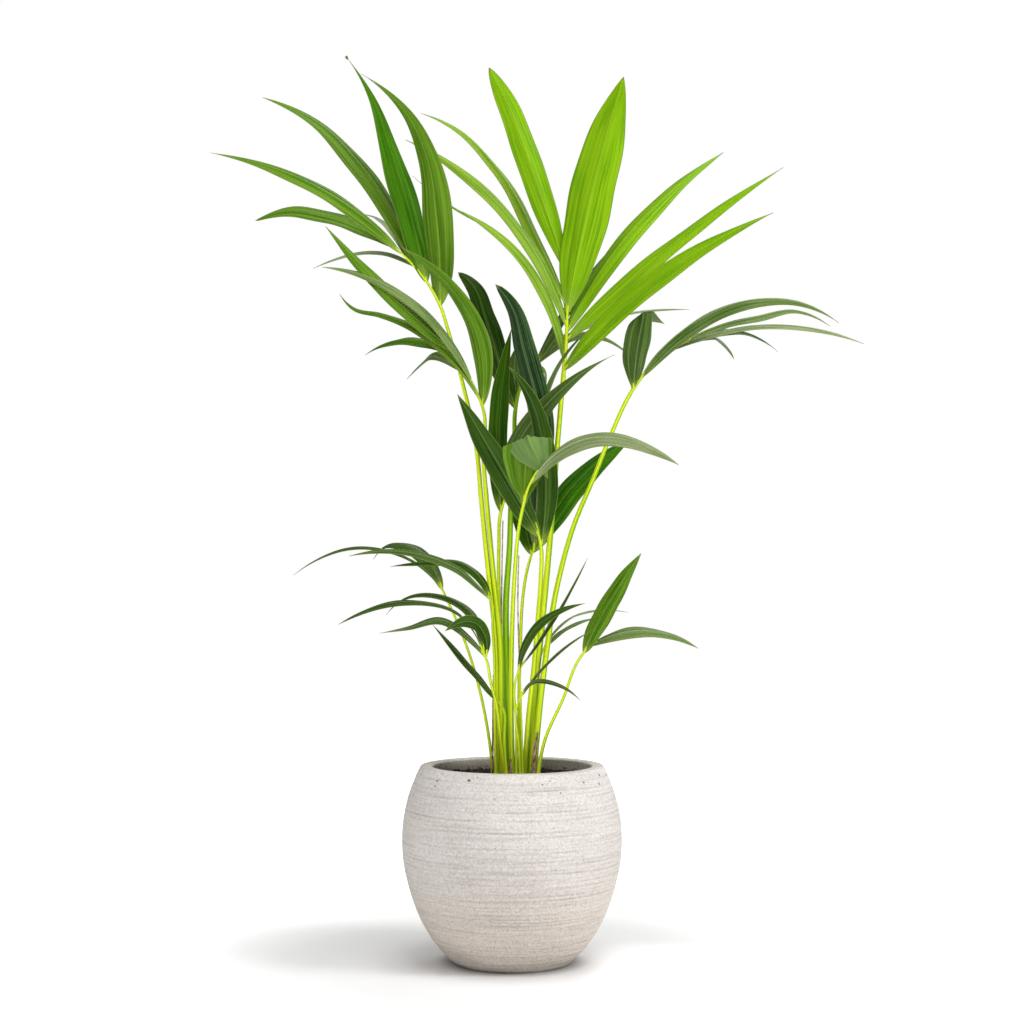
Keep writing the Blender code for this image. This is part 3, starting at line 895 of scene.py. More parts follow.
@dataclass(frozen=True)
class ClayFinish:
    """The look of the pot's grooved stony clay, with heights in metres and counts a metre."""

    name: str
    pale: Colour
    dull: Colour
    warm: Colour
    # The dark of the grain and speckle, also laid in the grooves as painted shade
    groove: Colour
    chalk: Colour = (0.84, 0.82, 0.80)
    # The brown laid on the left of the inside wall as painted shade
    painted_shade_brown: Colour = (0.30, 0.225, 0.165)
    # The pale laid on the right of the inside wall as painted light
    bright: Colour = (0.98, 0.90, 0.83)
    stain: Colour = (0.12, 0.09, 0.07)
    hole: Colour = (0.10, 0.085, 0.07)
    gloss: float = 0.25
    rough: float = 0.92
    hole_height: float = 0.222
    hole_count: float = 105.0
    patch_count: float = 14.0
    speckle_count: float = 520.0
    grit_count: float = 300.0
    grain_count: float = 1000.0
    comb_counts: Pair = (11.0, 300.0)
    gap_counts: Pair = (40.0, 80.0)
    relief_mm: float = 0.9

    def pinholes(self, w: Wiring, inside: Signal) -> Signal:
        """Small round holes, most of them in a band below the rim.

        Args:
            w: the material's nodes.
            inside: 1 on the inside of the pot and 0 outside.

        Returns:
            A value of 1 in a hole and 0 elsewhere.
        """
        x, y, z = w.split(w.place())
        band = w.step(abs(z - self.hole_height), 0.004, 0.012, (0.52, 0.0))
        far, own = w.cells(w.join(x, y, z * 1.3), self.hole_count)
        radius = w.step(own + (band + inside * 0.3), 0.85, 1.15, (0.0, 0.23))
        return w.step(radius - far, 0.0, 0.03)

    def material(self) -> bpy.types.Material:
        """Make the clay's material: grain, speckle, combed bands and pinholes, with painted shade in the
        grooves and painted light and shade on the inside wall.

        Returns:
            The material.
        """
        w = Wiring(self.name)
        depth, _, inside = w.read("course")
        place = w.place()
        x, y, z = w.split(place)
        level, upright = self.comb_counts
        comb = w.noise(w.join(x * level, y * level, z * upright), detail=2.0)
        level, upright = self.gap_counts
        gap = w.noise(w.join(x, y, z * (upright / level)), level, 2.0)
        patch = w.noise(place, self.patch_count, 3.0)
        speckle = w.noise(place, self.speckle_count, 3.0)
        grit = w.noise(place, self.grit_count, 2.0)
        grain = w.cells(place, self.grain_count)[1]
        hole = self.pinholes(w, inside)
        # Painted shade in the grooves, stronger towards the right and broken up by noise
        grooves = depth**1.3 * w.step(x, -0.09, 0.07, (0.52, 0.78)) * w.step(gap, 0.28, 0.56, (0.50, 1.0))
        colour = w.coat(
            self.pale,
            (w.step(patch, 0.35, 0.7), self.dull),
            (w.step(z, 0.01, 0.15, (0.85, 0.0)), self.warm),
            (w.step(comb, 0.48, 0.70, (0.0, 0.22)), self.groove),
            (grooves, self.groove),
            (w.step(speckle, 0.50, 0.66, (0.0, 0.30)), self.groove),
            (w.step(grit, 0.52, 0.72, (0.0, 0.13)), self.groove),
            (w.step(grit, 0.30, 0.46, (0.16, 0.0)), self.chalk),
            (w.step(grain, 0.0, 0.45, (0.27, 0.0)), self.groove),
            (w.step(grain, 0.60, 1.0, (0.0, 0.30)), self.chalk),
            # Painted shade on the left of the inside wall and painted light on its right
            (inside * w.step(x, -0.03, 0.04, (0.42, 0.0)), self.painted_shade_brown),
            (inside * w.step(x, 0.0, 0.05, (0.0, 0.85)), self.bright),
            (inside * w.step(speckle, 0.42, 0.58, (0.0, 0.42)), self.stain),
            (hole * 0.85, self.hole),
        )
        w.surface(colour, self.rough, self.gloss)
        w.relief(speckle * 0.8 + comb * 0.5 - hole, self.relief_mm, 0.8)
        return w.material


@dataclass(frozen=True)
class CrumbFinish:
    """The look of a rough matt stuff: moist soil, or a dry fibrous sheath."""

    name: str
    dark: Colour
    light: Colour
    counts: tuple[float, float, float]
    depth_mm: float
    rough: float = 0.95
    gloss: float = 0.25

    def material(self) -> bpy.types.Material:
        """Make the material.

        Returns:
            The material.
        """
        w = Wiring(self.name)
        spread = w.join(*(part * count for part, count in zip(w.split(w.place()), self.counts)))
        coarse = w.noise(spread, 1.0, 4.0)
        fine = w.noise(spread, 4.5, 2.0)
        colour = w.coat(
            self.dark,
            (w.step(coarse, 0.32, 0.7), self.light),
            (w.step(fine, 0.55, 0.8, (0.0, 0.5)), self.dark),
        )
        w.surface(colour, self.rough, self.gloss)
        w.relief(coarse + fine, self.depth_mm, 0.6)
        return w.material


class Palette:
    """Every finish of the plant and its pot, made once and shared by the pieces."""

    LIME = StalkFinish("lime_stalk", (0.62, 0.73, 0.016), (0.12, 0.31, 0.003), (0.54, 0.62, 0.05))
    DEEP = StalkFinish("deep_stalk", (0.27, 0.50, 0.008), (0.07, 0.20, 0.003), (0.38, 0.52, 0.04))
    CLAY = ClayFinish(
        "grooved_clay",
        (0.685, 0.645, 0.615), (0.635, 0.595, 0.560), (0.670, 0.590, 0.510), (0.240, 0.205, 0.175),
    )
    SOIL = CrumbFinish(
        "moist_soil", (0.012, 0.008, 0.006), (0.060, 0.038, 0.025), (260.0, 260.0, 260.0), 1.2
    )
    STRAW = CrumbFinish(
        "dry_fibre", (0.10, 0.050, 0.022), (0.60, 0.42, 0.26), (420.0, 420.0, 130.0), 0.5, 0.85
    )

    # The dark, light and vein greens of each tone: the leaves' own greens with painted light, shade and
    # sheen in them
    LEAF_COLOURS = {
        Tone.BRIGHT: ((0.105, 0.265, 0.0005), (0.205, 0.400, 0.003), (0.34, 0.52, 0.030)),
        Tone.FRESH: ((0.095, 0.215, 0.004), (0.210, 0.350, 0.024), (0.36, 0.48, 0.110)),
        Tone.MID: ((0.038, 0.118, 0.002), (0.108, 0.220, 0.012), (0.22, 0.34, 0.050)),
        Tone.LUSH: ((0.012, 0.082, 0.0005), (0.050, 0.165, 0.002), (0.13, 0.26, 0.020)),
        Tone.DEEP: ((0.007, 0.040, 0.0005), (0.032, 0.096, 0.001), (0.13, 0.22, 0.030)),
        Tone.DARK: ((0.006, 0.028, 0.001), (0.028, 0.076, 0.004), (0.16, 0.24, 0.070)),
        Tone.INKY: ((0.003, 0.019, 0.004), (0.026, 0.068, 0.020), (0.22, 0.27, 0.150)),
        Tone.GREY: ((0.017, 0.050, 0.004), (0.068, 0.122, 0.024), (0.22, 0.28, 0.110)),
        Tone.SHEENED: ((0.050, 0.108, 0.014), (0.160, 0.232, 0.070), (0.31, 0.38, 0.170)),
        Tone.PALE: ((0.115, 0.175, 0.055), (0.260, 0.310, 0.150), (0.40, 0.45, 0.260)),
    }

    # The roughness of each face, and how far it is moved to the pale green of an underside
    FACES = {Side.UPPER: (0.40, 0.0), Side.UNDER: (0.52, 0.42)}
    UNDER_PALE = (0.19, 0.27, 0.13)

    def __init__(self) -> None:
        """Make all the materials."""
        self.leaves = {}
        for tone, shades in self.LEAF_COLOURS.items():
            for side, (rough, paling) in self.FACES.items():
                name = f"leaf_{tone.value}_{side.value}"
                paled = (self.paled(shade, paling) for shade in shades)
                self.leaves[tone, side] = LeafFinish(name, *paled, rough).material()
        self.lime_stalk = self.LIME.material()
        self.deep_stalk = self.DEEP.material()
        self.grooved_clay = self.CLAY.material()
        self.moist_soil = self.SOIL.material()
        self.dry_fibre = self.STRAW.material()

    def paled(self, colour: Colour, share: float) -> Colour:
        """A colour moved part of the way to the pale green of a leaf's underside."""
        return tuple(a + (b - a) * share for a, b in zip(colour, self.UNDER_PALE))


def declare(piece: bpy.types.Object, slot: str, *nodes: str) -> None:
    """Hide the solids that a piece stands for, log its faces and attach it to the body it rides on."""
    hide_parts(*nodes)
    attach(piece, BODY)
    log.info("%s: %d faces", piece.name, len(piece.data.polygons))


def slot_of(node: str) -> str:
    """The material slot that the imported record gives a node."""
    return next(s["material_slot"] for s in frame["record"]["subparts"] if s["node"] == node)


@dataclass
class Rod:
    """A tapering stalk or rib with a shallow channel down one side."""

    sides: int = 22
    step_mm: float = 6.0
    channel_depth: float = 0.22
    channel_width: float = 0.55
    channel_turn: float = -1.2
    flare_mm: float = 9.0

    def section(self, angles: np.ndarray) -> np.ndarray:
        """How far the outline stands from the middle at each angle, as a share of the radius."""
        off = np.angle(np.exp(1j * (angles - self.channel_turn)))
        return 1.0 - self.channel_depth * np.exp(-((off / self.channel_width) ** 2))

    def add(self, draft: MeshDraft, path: SmoothPath, span: Pair, radii: Pair, seed: float,
            slot: int = 0, flare: float = 0.0, level_foot: bool = False) -> None:
        """Add the rod to a mesh.

        Args:
            draft: the mesh to add it to.
            path: the curve that it follows.
            span: the shares of the path at which it starts and ends.
            radii: its radii there, in millimetres.
            seed: a number of its own for the finish.
            slot: its material slot.
            flare: how much wider the foot is, as a share.
            level_foot: whether the foot is cut level.
        """
        run = (span[1] - span[0]) * path.length
        steps = max(4, round(run / self.step_mm))
        angles = np.linspace(0, FULL_TURN, self.sides, endpoint=False)
        turn = angles / FULL_TURN
        cosine, sine = np.cos(angles), np.sin(angles)
        outline = self.section(angles)
        side = Vector((1, 0, 0))
        rings, course, form = [], [], []
        for i in range(steps + 1):
            part = i / steps
            place, way = path.at(span[0] + (span[1] - span[0]) * part)
            if level_foot and i == 0:
                way = Vector((0, 0, 1))
            side = (side - way * side.dot(way)).normalized()
            along = part * run
            radius = radii[0] + (radii[1] - radii[0]) * part
            radius *= 1 + flare * math.exp(-along / self.flare_mm)
            spokes = np.outer(cosine * outline, side) + np.outer(sine * outline, way.cross(side))
            rings.append(np.array(place) + spokes * radius)
            course.append(np.stack([turn, np.full_like(turn, along * MM), np.full_like(turn, seed)], -1))
            form.append(np.stack([cosine, sine, np.full_like(turn, part)], -1))
        draft.add_tube(rings, course, form, slot)


@dataclass
class Blade:
    """The ribbed, creased shape that every leaflet shares. Counts are waves a width or a length."""

    rows: int = 46
    crease: float = 0.16
    pleat: float = 0.022
    pleat_counts: Pair = (1.6, 3.1)
    wave: float = 0.05
    wave_counts: Pair = (1.7, 2.3)
    uneven: float = 0.045
    uneven_counts: Pair = (1.4, 3.3)
    second_share: float = 0.6
    rib_mm: float = 0.45
    rib_width: float = 0.05
    rib_swell: float = 0.06
    pleat_onset: float = 9.0
    wave_onset: float = 4.0
    root_share: float = 0.13
    root_end: float = 0.3
    tip_half_mm: float = 0.25
    raised_mm: float = 0.15
    thickness_mm: float = 0.5
    rib_thickness_mm: float = 1.1
    stations: tuple[float, ...] = (
        0.0, 0.035, 0.08, 0.15, 0.23, 0.31, 0.39, 0.47, 0.55, 0.63, 0.71, 0.79, 0.87, 0.94, 1.0,
    )

    def width(self, part: np.ndarray, leaflet: Leaflet) -> np.ndarray:
        """The leaflet's width at shares of its length.

        Args:
            part: the shares of its length.
            leaflet: the leaflet, for its spread and taper.

        Returns:
            The widths, as shares of its greatest width.
        """
        spread, taper = leaflet.spread, leaflet.taper
        peak = spread / (spread + taper)
        most = peak**spread * (1 - peak) ** taper
        shape = part**spread * (1 - part) ** taper / most
        root = self.root_share * np.clip(1 - part / self.root_end, 0, 1)
        return np.sqrt(shape**2 + root**2)

    def first_side(self, way: Vector, turn: float) -> Vector:
        """The direction of the width at the root.

        Args:
            way: the direction of the leaflet's length there.
            turn: how far the width is turned about the length, in degrees.

        Returns:
            The direction across.
        """
        depth = Vector((0, 1, 0))
        up = way.cross(depth).normalized()
        if up.z < 0:
            up = -up
        angle = math.radians(turn)
        side = up * math.cos(angle) + depth * math.sin(angle)
        return (side - way * side.dot(way)).normalized()

    def frames(self, path: SmoothPath, leaflet: Leaflet) -> tuple[np.ndarray, np.ndarray, np.ndarray]:
        """Carry the width's direction along the leaflet without turning it needlessly.

        Args:
            path: the leaflet's curve.
            leaflet: the leaflet, for its turn and twist.

        Returns:
            The places, the directions across and the directions out of the upper face.
        """
        before = path.at(0)[1]
        side = self.first_side(before, leaflet.turn)
        if side.cross(before).dot(Vector((0, -1, 0.5))) < 0:
            side = -side
        places, acrosses, normals = [], [], []
        for i in range(self.rows + 1):
            part = i / self.rows
            place, way = path.at(part)
            side = before.rotation_difference(way) @ side
            before = way
            across = Matrix.Rotation(math.radians(leaflet.twist * part), 3, way) @ side
            places.append(place)
            acrosses.append(across)
            normals.append(across.cross(way))
        return np.array(places), np.array(acrosses), np.array(normals)

    def folded(self, face: np.ndarray, path: SmoothPath, leaflet: Leaflet) -> np.ndarray:
        """Bend one face of a leaflet over, to its upper side or its underside.

        Args:
            face: the face's points, by row and column.
            path: the leaflet's curve, straight near the fold.
            leaflet: the leaflet, for its fold and turn.

        Returns:
            The points, bent beyond the fold.
        """
        fold = leaflet.fold
        row = round(fold.share * self.rows)
        places, across, normal = self.frames(path, leaflet)
        slant = math.radians(fold.slant)
        ahead = np.cross(normal[row], across[row])
        axis = across[row] * math.cos(slant) + ahead * math.sin(slant)
        ahead = np.cross(normal[row], axis)
        out = normal[row] * math.copysign(1, fold.angle)
        off = face - places[row]
        run, rise = off @ ahead, off @ out
        limit = math.radians(abs(fold.angle))
        angle = np.clip(run / fold.radius, 0, limit)
        left = np.where(run > 0, run - angle * fold.radius, run)
        arm = fold.radius - rise
        bent_run = arm * np.sin(angle) + left * np.cos(angle)
        bent_rise = fold.radius - arm * np.cos(angle) + left * np.sin(angle)
        along = (off @ axis)[..., None] * axis
        return places[row] + along + bent_run[..., None] * ahead + bent_rise[..., None] * out

    def lift(self, part: np.ndarray, s: np.ndarray, half: np.ndarray, cup: float,
             phase: np.ndarray) -> np.ndarray:
        """How far the upper face stands out of the leaflet's middle surface.

        Args:
            part: the rows' shares of the length.
            s: the columns' places across, from -1 to 1.
            half: the half width of each row in millimetres.
            cup: how strongly the blade is creased.
            phase: where its pleats and waves start.

        Returns:
            The heights in millimetres, by row and column.
        """
        first, second = (count * FULL_TURN for count in self.pleat_counts)
        pleats = np.cos(first * s + phase[0]) + self.second_share * np.cos(second * s + phase[1])
        fade = (1.25 - part) * np.clip(part * self.pleat_onset, 0, 1)
        lift = np.outer(half * self.crease * cup, 1 - 2 * np.abs(s))
        lift += np.outer(half * self.pleat * fade, pleats)
        lift += np.outer(self.rib_mm * (1 - part), np.exp(-((s / self.rib_width) ** 2)))
        for count, start, shape in zip(self.wave_counts, phase[2:4], (s * np.abs(s), s**2)):
            ripple = self.wave * np.sin(FULL_TURN * count * part + start)
            lift += np.outer(half * (ripple * np.clip(part * self.wave_onset, 0, 1)), shape)
        return lift

    def reach(self, part: np.ndarray, s: np.ndarray, half: np.ndarray, phase: np.ndarray) -> np.ndarray:
        """How far each point stands from the leaflet's middle line.

        Args:
            part: the rows' shares of the length.
            s: the columns' places across, from -1 to 1.
            half: the half width of each row in millimetres.
            phase: where the unevenness of its edges starts.

        Returns:
            The places across in millimetres, by row and column.
        """
        reach = np.outer(half, s)
        slow, quick = (count * FULL_TURN for count in self.uneven_counts)
        for edge, start in ((s > 0, phase[4:6]), (s < 0, phase[6:8])):
            swing = np.sin(slow * part + start[0]) + self.second_share * np.sin(quick * part + start[1])
            reach *= 1 + self.uneven * np.outer(swing, edge)
        return reach

    def thick(self, part: np.ndarray, s: np.ndarray) -> np.ndarray:
        """How thick the blade is, in millimetres, by row and column."""
        thick = np.outer(1.3 - 0.6 * part, self.thickness_mm * (1.15 - 0.6 * np.abs(s) ** 3))
        swell = np.exp(-((s / self.rib_swell) ** 2))
        return thick + np.outer(self.rib_thickness_mm * (1 - part) ** 2, swell)

    def add(self, draft: MeshDraft, root: Vector, leaflet: Leaflet, slots: tuple[int, int],
            chance: np.random.Generator) -> None:
        """Add one leaflet to a mesh, closed all round.

        Args:
            draft: the mesh to add it to.
            root: where it grows from, in millimetres.
            leaflet: its sizes and the way it takes.
            slots: the material slots of its upper face and underside.
            chance: the source of its small irregularities.
        """
        path = SmoothPath((tuple(root), *leaflet.way))
        places, across, normal = self.frames(path, leaflet)
        part = np.linspace(0, 1, self.rows + 1)
        half = np.maximum(leaflet.width * self.width(part, leaflet) / 2, self.tip_half_mm)
        right = np.array(self.stations)
        s = np.concatenate([-right[:0:-1], right])
        phase = chance.uniform(0, FULL_TURN, 8)
        lift = self.lift(part, s, half, leaflet.cup, phase) + self.raised_mm
        reach = self.reach(part, s, half, phase)
        flat = places[:, None] + across[:, None] * reach[..., None]
        upper = flat + normal[:, None] * lift[..., None]
        under = flat + normal[:, None] * (lift - self.thick(part, s))[..., None]
        if leaflet.fold:
            upper, under = (self.folded(face, path, leaflet) for face in (upper, under))

        grid = np.ones_like(lift)
        seed = chance.uniform(0, 1)
        course = np.stack([grid * s, grid * (part * path.length * MM)[:, None], grid * seed], -1)
        form = np.stack([grid * part[:, None], grid * (half * MM)[:, None], grid * (half.max() * MM)], -1)
        top = draft.add_points(upper, course, form)
        low = draft.add_points(under, course, form)
        draft.add_quads(top, slots[0])
        draft.add_quads(low[:, ::-1], slots[1])
        for first, second in ((low[:, 0], top[:, 0]), (top[:, -1], low[:, -1])):
            draft.add_quads(np.stack([first, second], axis=1), slots[0])
        draft.add_quads(np.stack([low[0], top[0]]), slots[0])
        draft.add_quads(np.stack([top[-1], low[-1]]), slots[0])


@dataclass
class PalmFrond:
    """A frond: its stalk, its rib with the swollen leaflet bases, and its leaflets."""

    plan: Frond
    palette: Palette
    chance: np.random.Generator
    stalk_rod: Rod = field(default_factory=Rod)
    rib_rod: Rod = field(default_factory=lambda: Rod(sides=12, step_mm=4.0))
    base_rod: Rod = field(default_factory=lambda: Rod(sides=10, step_mm=1.5, channel_depth=0.0))
    blade: Blade = field(default_factory=Blade)
    rib_end_mm: float = 1.0
    rib_overlap_mm: float = 2.0
    base_radii: Pair = (1.6, 1.1)
    base_length_mm: float = 9.0
    bead_length_mm: float = 4.0
    bead_neck: float = 0.6
    sunk_mm: float = 12.0
    foot_flare: float = 0.22

    def __post_init__(self) -> None:
        """Work out the curve of the whole frond, where its fan starts and what its stalk is made of."""
        self.path = SmoothPath((*self.plan.stalk, *self.plan.rib))
        self.fan = self.path.share_at(len(self.plan.stalk) - 1)
        self.from_soil = self.plan.stalk[0][2] == STALK_FOOT
        deep = self.plan.deep_stalk
        self.green = self.palette.deep_stalk if deep else self.palette.lime_stalk
        self.slot = "stalk_deep" if deep else "stalk"

    def dress(self) -> None:
        """Build all three pieces."""
        self.build_stalk()
        self.build_rib()
        self.build_leaflets()

    def build_stalk(self) -> None:
        """The stalk from the soil or the fork up to the fan."""
        draft = MeshDraft()
        path = self.path
        fan = self.fan
        if not self.from_soil:
            start = Vector(self.plan.stalk[0]) - path.at(0)[1] * self.sunk_mm
            path = SmoothPath((tuple(start), *self.plan.stalk, *self.plan.rib))
            fan = path.share_at(len(self.plan.stalk))
        self.stalk_rod.add(
            draft, path, (0.0, fan), self.plan.radii, self.chance.uniform(0, 1),
            flare=self.foot_flare if self.from_soil else 0.0, level_foot=self.from_soil,
        )
        piece = draft.finish(f"green_stalk_{self.plan.name}", [self.green], 50)
        declare(piece, self.slot, f"stalk_{self.plan.name}")

    def build_rib(self) -> None:
        """The rib that runs up through the fan, with a swollen base for each leaflet."""
        draft = MeshDraft()
        seed = self.chance.uniform(0, 1)
        start = self.fan - self.rib_overlap_mm / self.path.length
        self.rib_rod.add(draft, self.path, (start, 1.0), (self.plan.radii[1], self.rib_end_mm), seed)
        materials = [self.green]
        for leaflet in self.plan.leaflets:
            way = SmoothPath((tuple(self.root(leaflet)), *leaflet.way))
            self.base_rod.add(draft, way, (0.0, self.base_length_mm / way.length), self.base_radii, seed)
            if leaflet.bead:
                span = (1 - self.bead_length_mm / way.length, 1.0)
                self.base_rod.add(draft, way, span, (leaflet.bead * self.bead_neck, leaflet.bead), seed, 1)
                materials = [self.green, self.palette.dry_fibre]
        piece = draft.finish(f"rib_{self.plan.name}", materials, 50)
        declare(piece, self.slot, f"frond_{self.plan.name}")

    def root(self, leaflet: Leaflet) -> Vector:
        """Where a leaflet leaves the rib."""
        return self.path.at(self.fan + (1 - self.fan) * leaflet.seat)[0]

    def build_leaflets(self) -> None:
        """All the frond's leaflets in one piece, each in its own green."""
        draft = MeshDraft()
        tones = list(dict.fromkeys(leaflet.tone for leaflet in self.plan.leaflets))
        for leaflet in self.plan.leaflets:
            first = 2 * tones.index(leaflet.tone)
            self.blade.add(draft, self.root(leaflet), leaflet, (first, first + 1), self.chance)
        materials = [self.palette.leaves[tone, side] for tone in tones for side in Side]
        piece = draft.finish(f"leaflets_{self.plan.name}", materials, 70)
        node = f"frond_{self.plan.name}"
        declare(piece, slot_of(node), node)


@dataclass
class LeftStem:
    """The double stem on the left: two stalks that grow side by side up to the fork."""

    palette: Palette
    path: tuple[Place, ...] = LEFT_STEM
    radii: Pair = (3.3, 2.8)
    apart_at_foot_mm: float = 2.3
    foot_flare: float = 0.15
    forks: tuple[tuple[float, Place], ...] = ((0.4, FORK_LEFT), (0.7, FORK_RIGHT))
    rod: Rod = field(default_factory=Rod)

    def half(self, fork: Place) -> SmoothPath:
        """The curve of one of the two stalks.

        Args:
            fork: its side of the fork.

        Returns:
            The curve from the soil to the fork.
        """
        final = Vector(fork) - Vector(self.path[-1])
        spread = self.apart_at_foot_mm / abs(final.x)
        points = []
        for k, place in enumerate(self.path):
            share = k / (len(self.path) - 1)
            shift = final * (spread + (1 - spread) * share)
            points.append((place[0] + shift.x, place[1] + shift.y, place[2]))
        return SmoothPath(tuple(points))

    def dress(self) -> None:
        """Build the stem."""
        draft = MeshDraft()
        for seed, fork in self.forks:
            self.rod.add(
                draft, self.half(fork), WHOLE, self.radii, seed, flare=self.foot_flare, level_foot=True
            )
        piece = draft.finish("double_stem", [self.palette.lime_stalk], 60)
        declare(piece, "stalk", "stem_left")


@dataclass
class DryPiece:
    """A dry sheath or the dead tip of an old stalk, frayed into fibres at its end."""

    node: str
    radii: Pair
    points: tuple[Place, ...]
    palette: Palette
    chance: np.random.Generator
    green_share: float = 0.0
    sleeve: float = 1.25
    fibres: int = 14
    fibre_radii: Pair = (0.22, 0.1)
    fibre_start: Pair = (0.0, 0.6)
    fibre_reach: Pair = (0.2, 0.45)
    fibre_spread: float = 0.9
    rod: Rod = field(
        default_factory=lambda: Rod(sides=18, step_mm=3.0, channel_depth=0.45, channel_width=0.9)
    )
    thread: Rod = field(default_factory=lambda: Rod(sides=5, step_mm=4.0, channel_depth=0.0))

    def dress(self) -> None:
        """Build the piece with its green sleeve or its loose fibres."""
        draft = MeshDraft()
        path = SmoothPath(self.points)
        seed = self.chance.uniform(0, 1)
        self.rod.add(draft, path, WHOLE, self.radii, seed, level_foot=True)
        materials = [self.palette.dry_fibre]
        if self.green_share:
            wider = tuple(radius * self.sleeve for radius in self.radii)
            self.rod.add(draft, path, (0.0, self.green_share), wider, seed, 1, level_foot=True)
            materials.append(self.palette.lime_stalk)
        else:
            for _ in range(self.fibres):
                self.thread.add(draft, self.strand(path), WHOLE, self.fibre_radii, 0.5)
        piece = draft.finish(f"frayed_{self.node}", materials, 60)
        declare(piece, "dry_sheath", self.node)

    def strand(self, path: SmoothPath) -> SmoothPath:
        """The curve of one loose fibre.

        Args:
            path: the curve of the piece that it comes from.

        Returns:
            The fibre's curve.
        """
        begin = self.chance.uniform(*self.fibre_start)
        end = min(begin + self.chance.uniform(*self.fibre_reach), 1.0)
        spread = self.radii[0] * self.fibre_spread
        shifts = self.chance.uniform(-spread, spread, (3, 3))
        return SmoothPath(tuple(
            tuple(np.array(path.at(share)[0]) + shift * (1, 1, 0))
            for share, shift in zip(np.linspace(begin, end, 3), shifts)
        ))


@dataclass(frozen=True)
class Row:
    """One row of points round the pot: its place, its groove and whether it is inside."""

    radius: float
    height: float
    depth: float = 0.0
    wander: float = 0.0
    phase: tuple[float, float, float, float] = (0.0, 0.0, 0.0, 0.0)
    inside: float = 0.0


@dataclass
class GroovedPot:
    """The round pot: combed with fine level grooves outside, with a flat foot and rounded rim."""

    palette: Palette
    chance: np.random.Generator
    foot_radius: float = 70.0
    foot_edge: tuple[Pair, ...] = ((3.5, 0.0), (1.6, 0.5), (0.2, 1.6))
    waist: Pair = (97.0, 30.0)
    low_belly: Pair = (122.5, 84.0)
    belly: Pair = (132.5, 143.0)
    shoulder: Pair = (126.0, 195.0)
    mouth_radius: float = 111.0
    wall: float = 15.0
    floor: float = 24.0
    floor_round: float = 4.0
    rim_round: float = 2.5
    rim_rows: int = 5
    inner_steps: int = 26
    sides: int = 256
    groove_span: Pair = (3.5, 4.5)
    groove_pitch: Pair = (4.0, 5.6)
    groove_depth: Pair = (0.5, 1.1)
    groove_half_width: float = 1.9
    groove_wander: float = 0.55
    mean_cut: float = 0.62
    cut_waves: tuple[Pair, ...] = ((3, 0.25), (11, 0.13))
    wander_waves: tuple[Pair, ...] = ((2, 0.7), (7, 0.3))

    def waves(self, angles: np.ndarray, plan: tuple[Pair, ...], starts: tuple[float, ...],
              mean: float = 0.0) -> np.ndarray:
        """Waves round the pot, added to a mean.

        Args:
            angles: where they are read.
            plan: the count and the height of each wave.
            starts: where each wave starts.
            mean: what they are added to.

        Returns:
            The value at each angle.
        """
        return sum((high * np.sin(n * angles + start) for (n, high), start in zip(plan, starts)), mean)

    def outline(self, inset: float = 0.0) -> SmoothPath:
        """The curve of the pot's side.

        Args:
            inset: how far it is moved in from the outside.

        Returns:
            The curve, as radius and height.
        """
        foot, mouth = (self.foot_radius, 0.0), (self.mouth_radius, POT_HEIGHT - self.rim_round)
        side = (foot, self.waist, self.low_belly, self.belly, self.shoulder, mouth)
        return SmoothPath(tuple((radius - inset, height, 0.0) for radius, height in side))

    def outer_rows(self) -> list[Row]:
        """Rows up the outside, three to a groove."""
        path = self.outline()
        rows = [Row(self.foot_radius - back, height) for back, height in self.foot_edge]
        along = self.groove_span[0]
        wide = self.groove_half_width
        while along < path.length - self.groove_span[1]:
            depth = self.chance.uniform(*self.groove_depth)
            phase = tuple(self.chance.uniform(0, FULL_TURN, 4))
            for offset, share in ((-wide, 0.0), (0.0, 1.0), (wide, 0.0)):
                place = path.at((along + offset) / path.length)[0]
                rows.append(Row(place.x, place.y, depth * share, self.groove_wander, phase))
            along += self.chance.uniform(*self.groove_pitch)
        end = path.at(1.0)[0]
        return [*rows, Row(end.x, end.y)]

    def inner_rows(self) -> list[Row]:
        """Rows over the rounded rim and down the inside to the floor."""
        rows = []
        turn = self.rim_round
        corners = (self.mouth_radius - turn, 0.0), (self.mouth_radius - self.wall + turn, 0.5)
        for corner, first in corners:
            for k in range(1, self.rim_rows + 1):
                angle = (first + k / (2 * self.rim_rows)) * math.pi
                height = POT_HEIGHT - turn + turn * math.sin(angle)
                rows.append(Row(corner + turn * math.cos(angle), height))
        inner = self.outline(self.wall)
        for k in range(1, self.inner_steps - 2):
            place = inner.at(1 - k / self.inner_steps)[0]
            if place.y > self.floor + self.floor_round:
                rows.append(Row(place.x, place.y, inside=1.0))
        rows.append(Row(rows[-1].radius - 10, self.floor, inside=1.0))
        return rows

    def dress(self) -> None:
        """Build the pot's body."""
        angles = np.linspace(0, FULL_TURN, self.sides, endpoint=False)
        rings, course = [], []
        for row in [*self.outer_rows(), *self.inner_rows()]:
            uneven = self.waves(angles, self.cut_waves, row.phase[:2], self.mean_cut)
            cut = row.radius - row.depth * uneven
            level = row.height + row.wander * self.waves(angles, self.wander_waves, row.phase[2:])
            rings.append(np.stack([cut * np.cos(angles), cut * np.sin(angles), level], -1))
            groove = row.depth * uneven / self.groove_depth[1]
            height = np.full_like(cut, row.height * MM)
            course.append(np.stack([groove, height, np.full_like(cut, row.inside)], -1))
        draft = MeshDraft()
        draft.add_tube(rings, course)
        piece = draft.finish("grooved_pot", [self.palette.grooved_clay], 60)
        declare(piece, "clay", "pot")


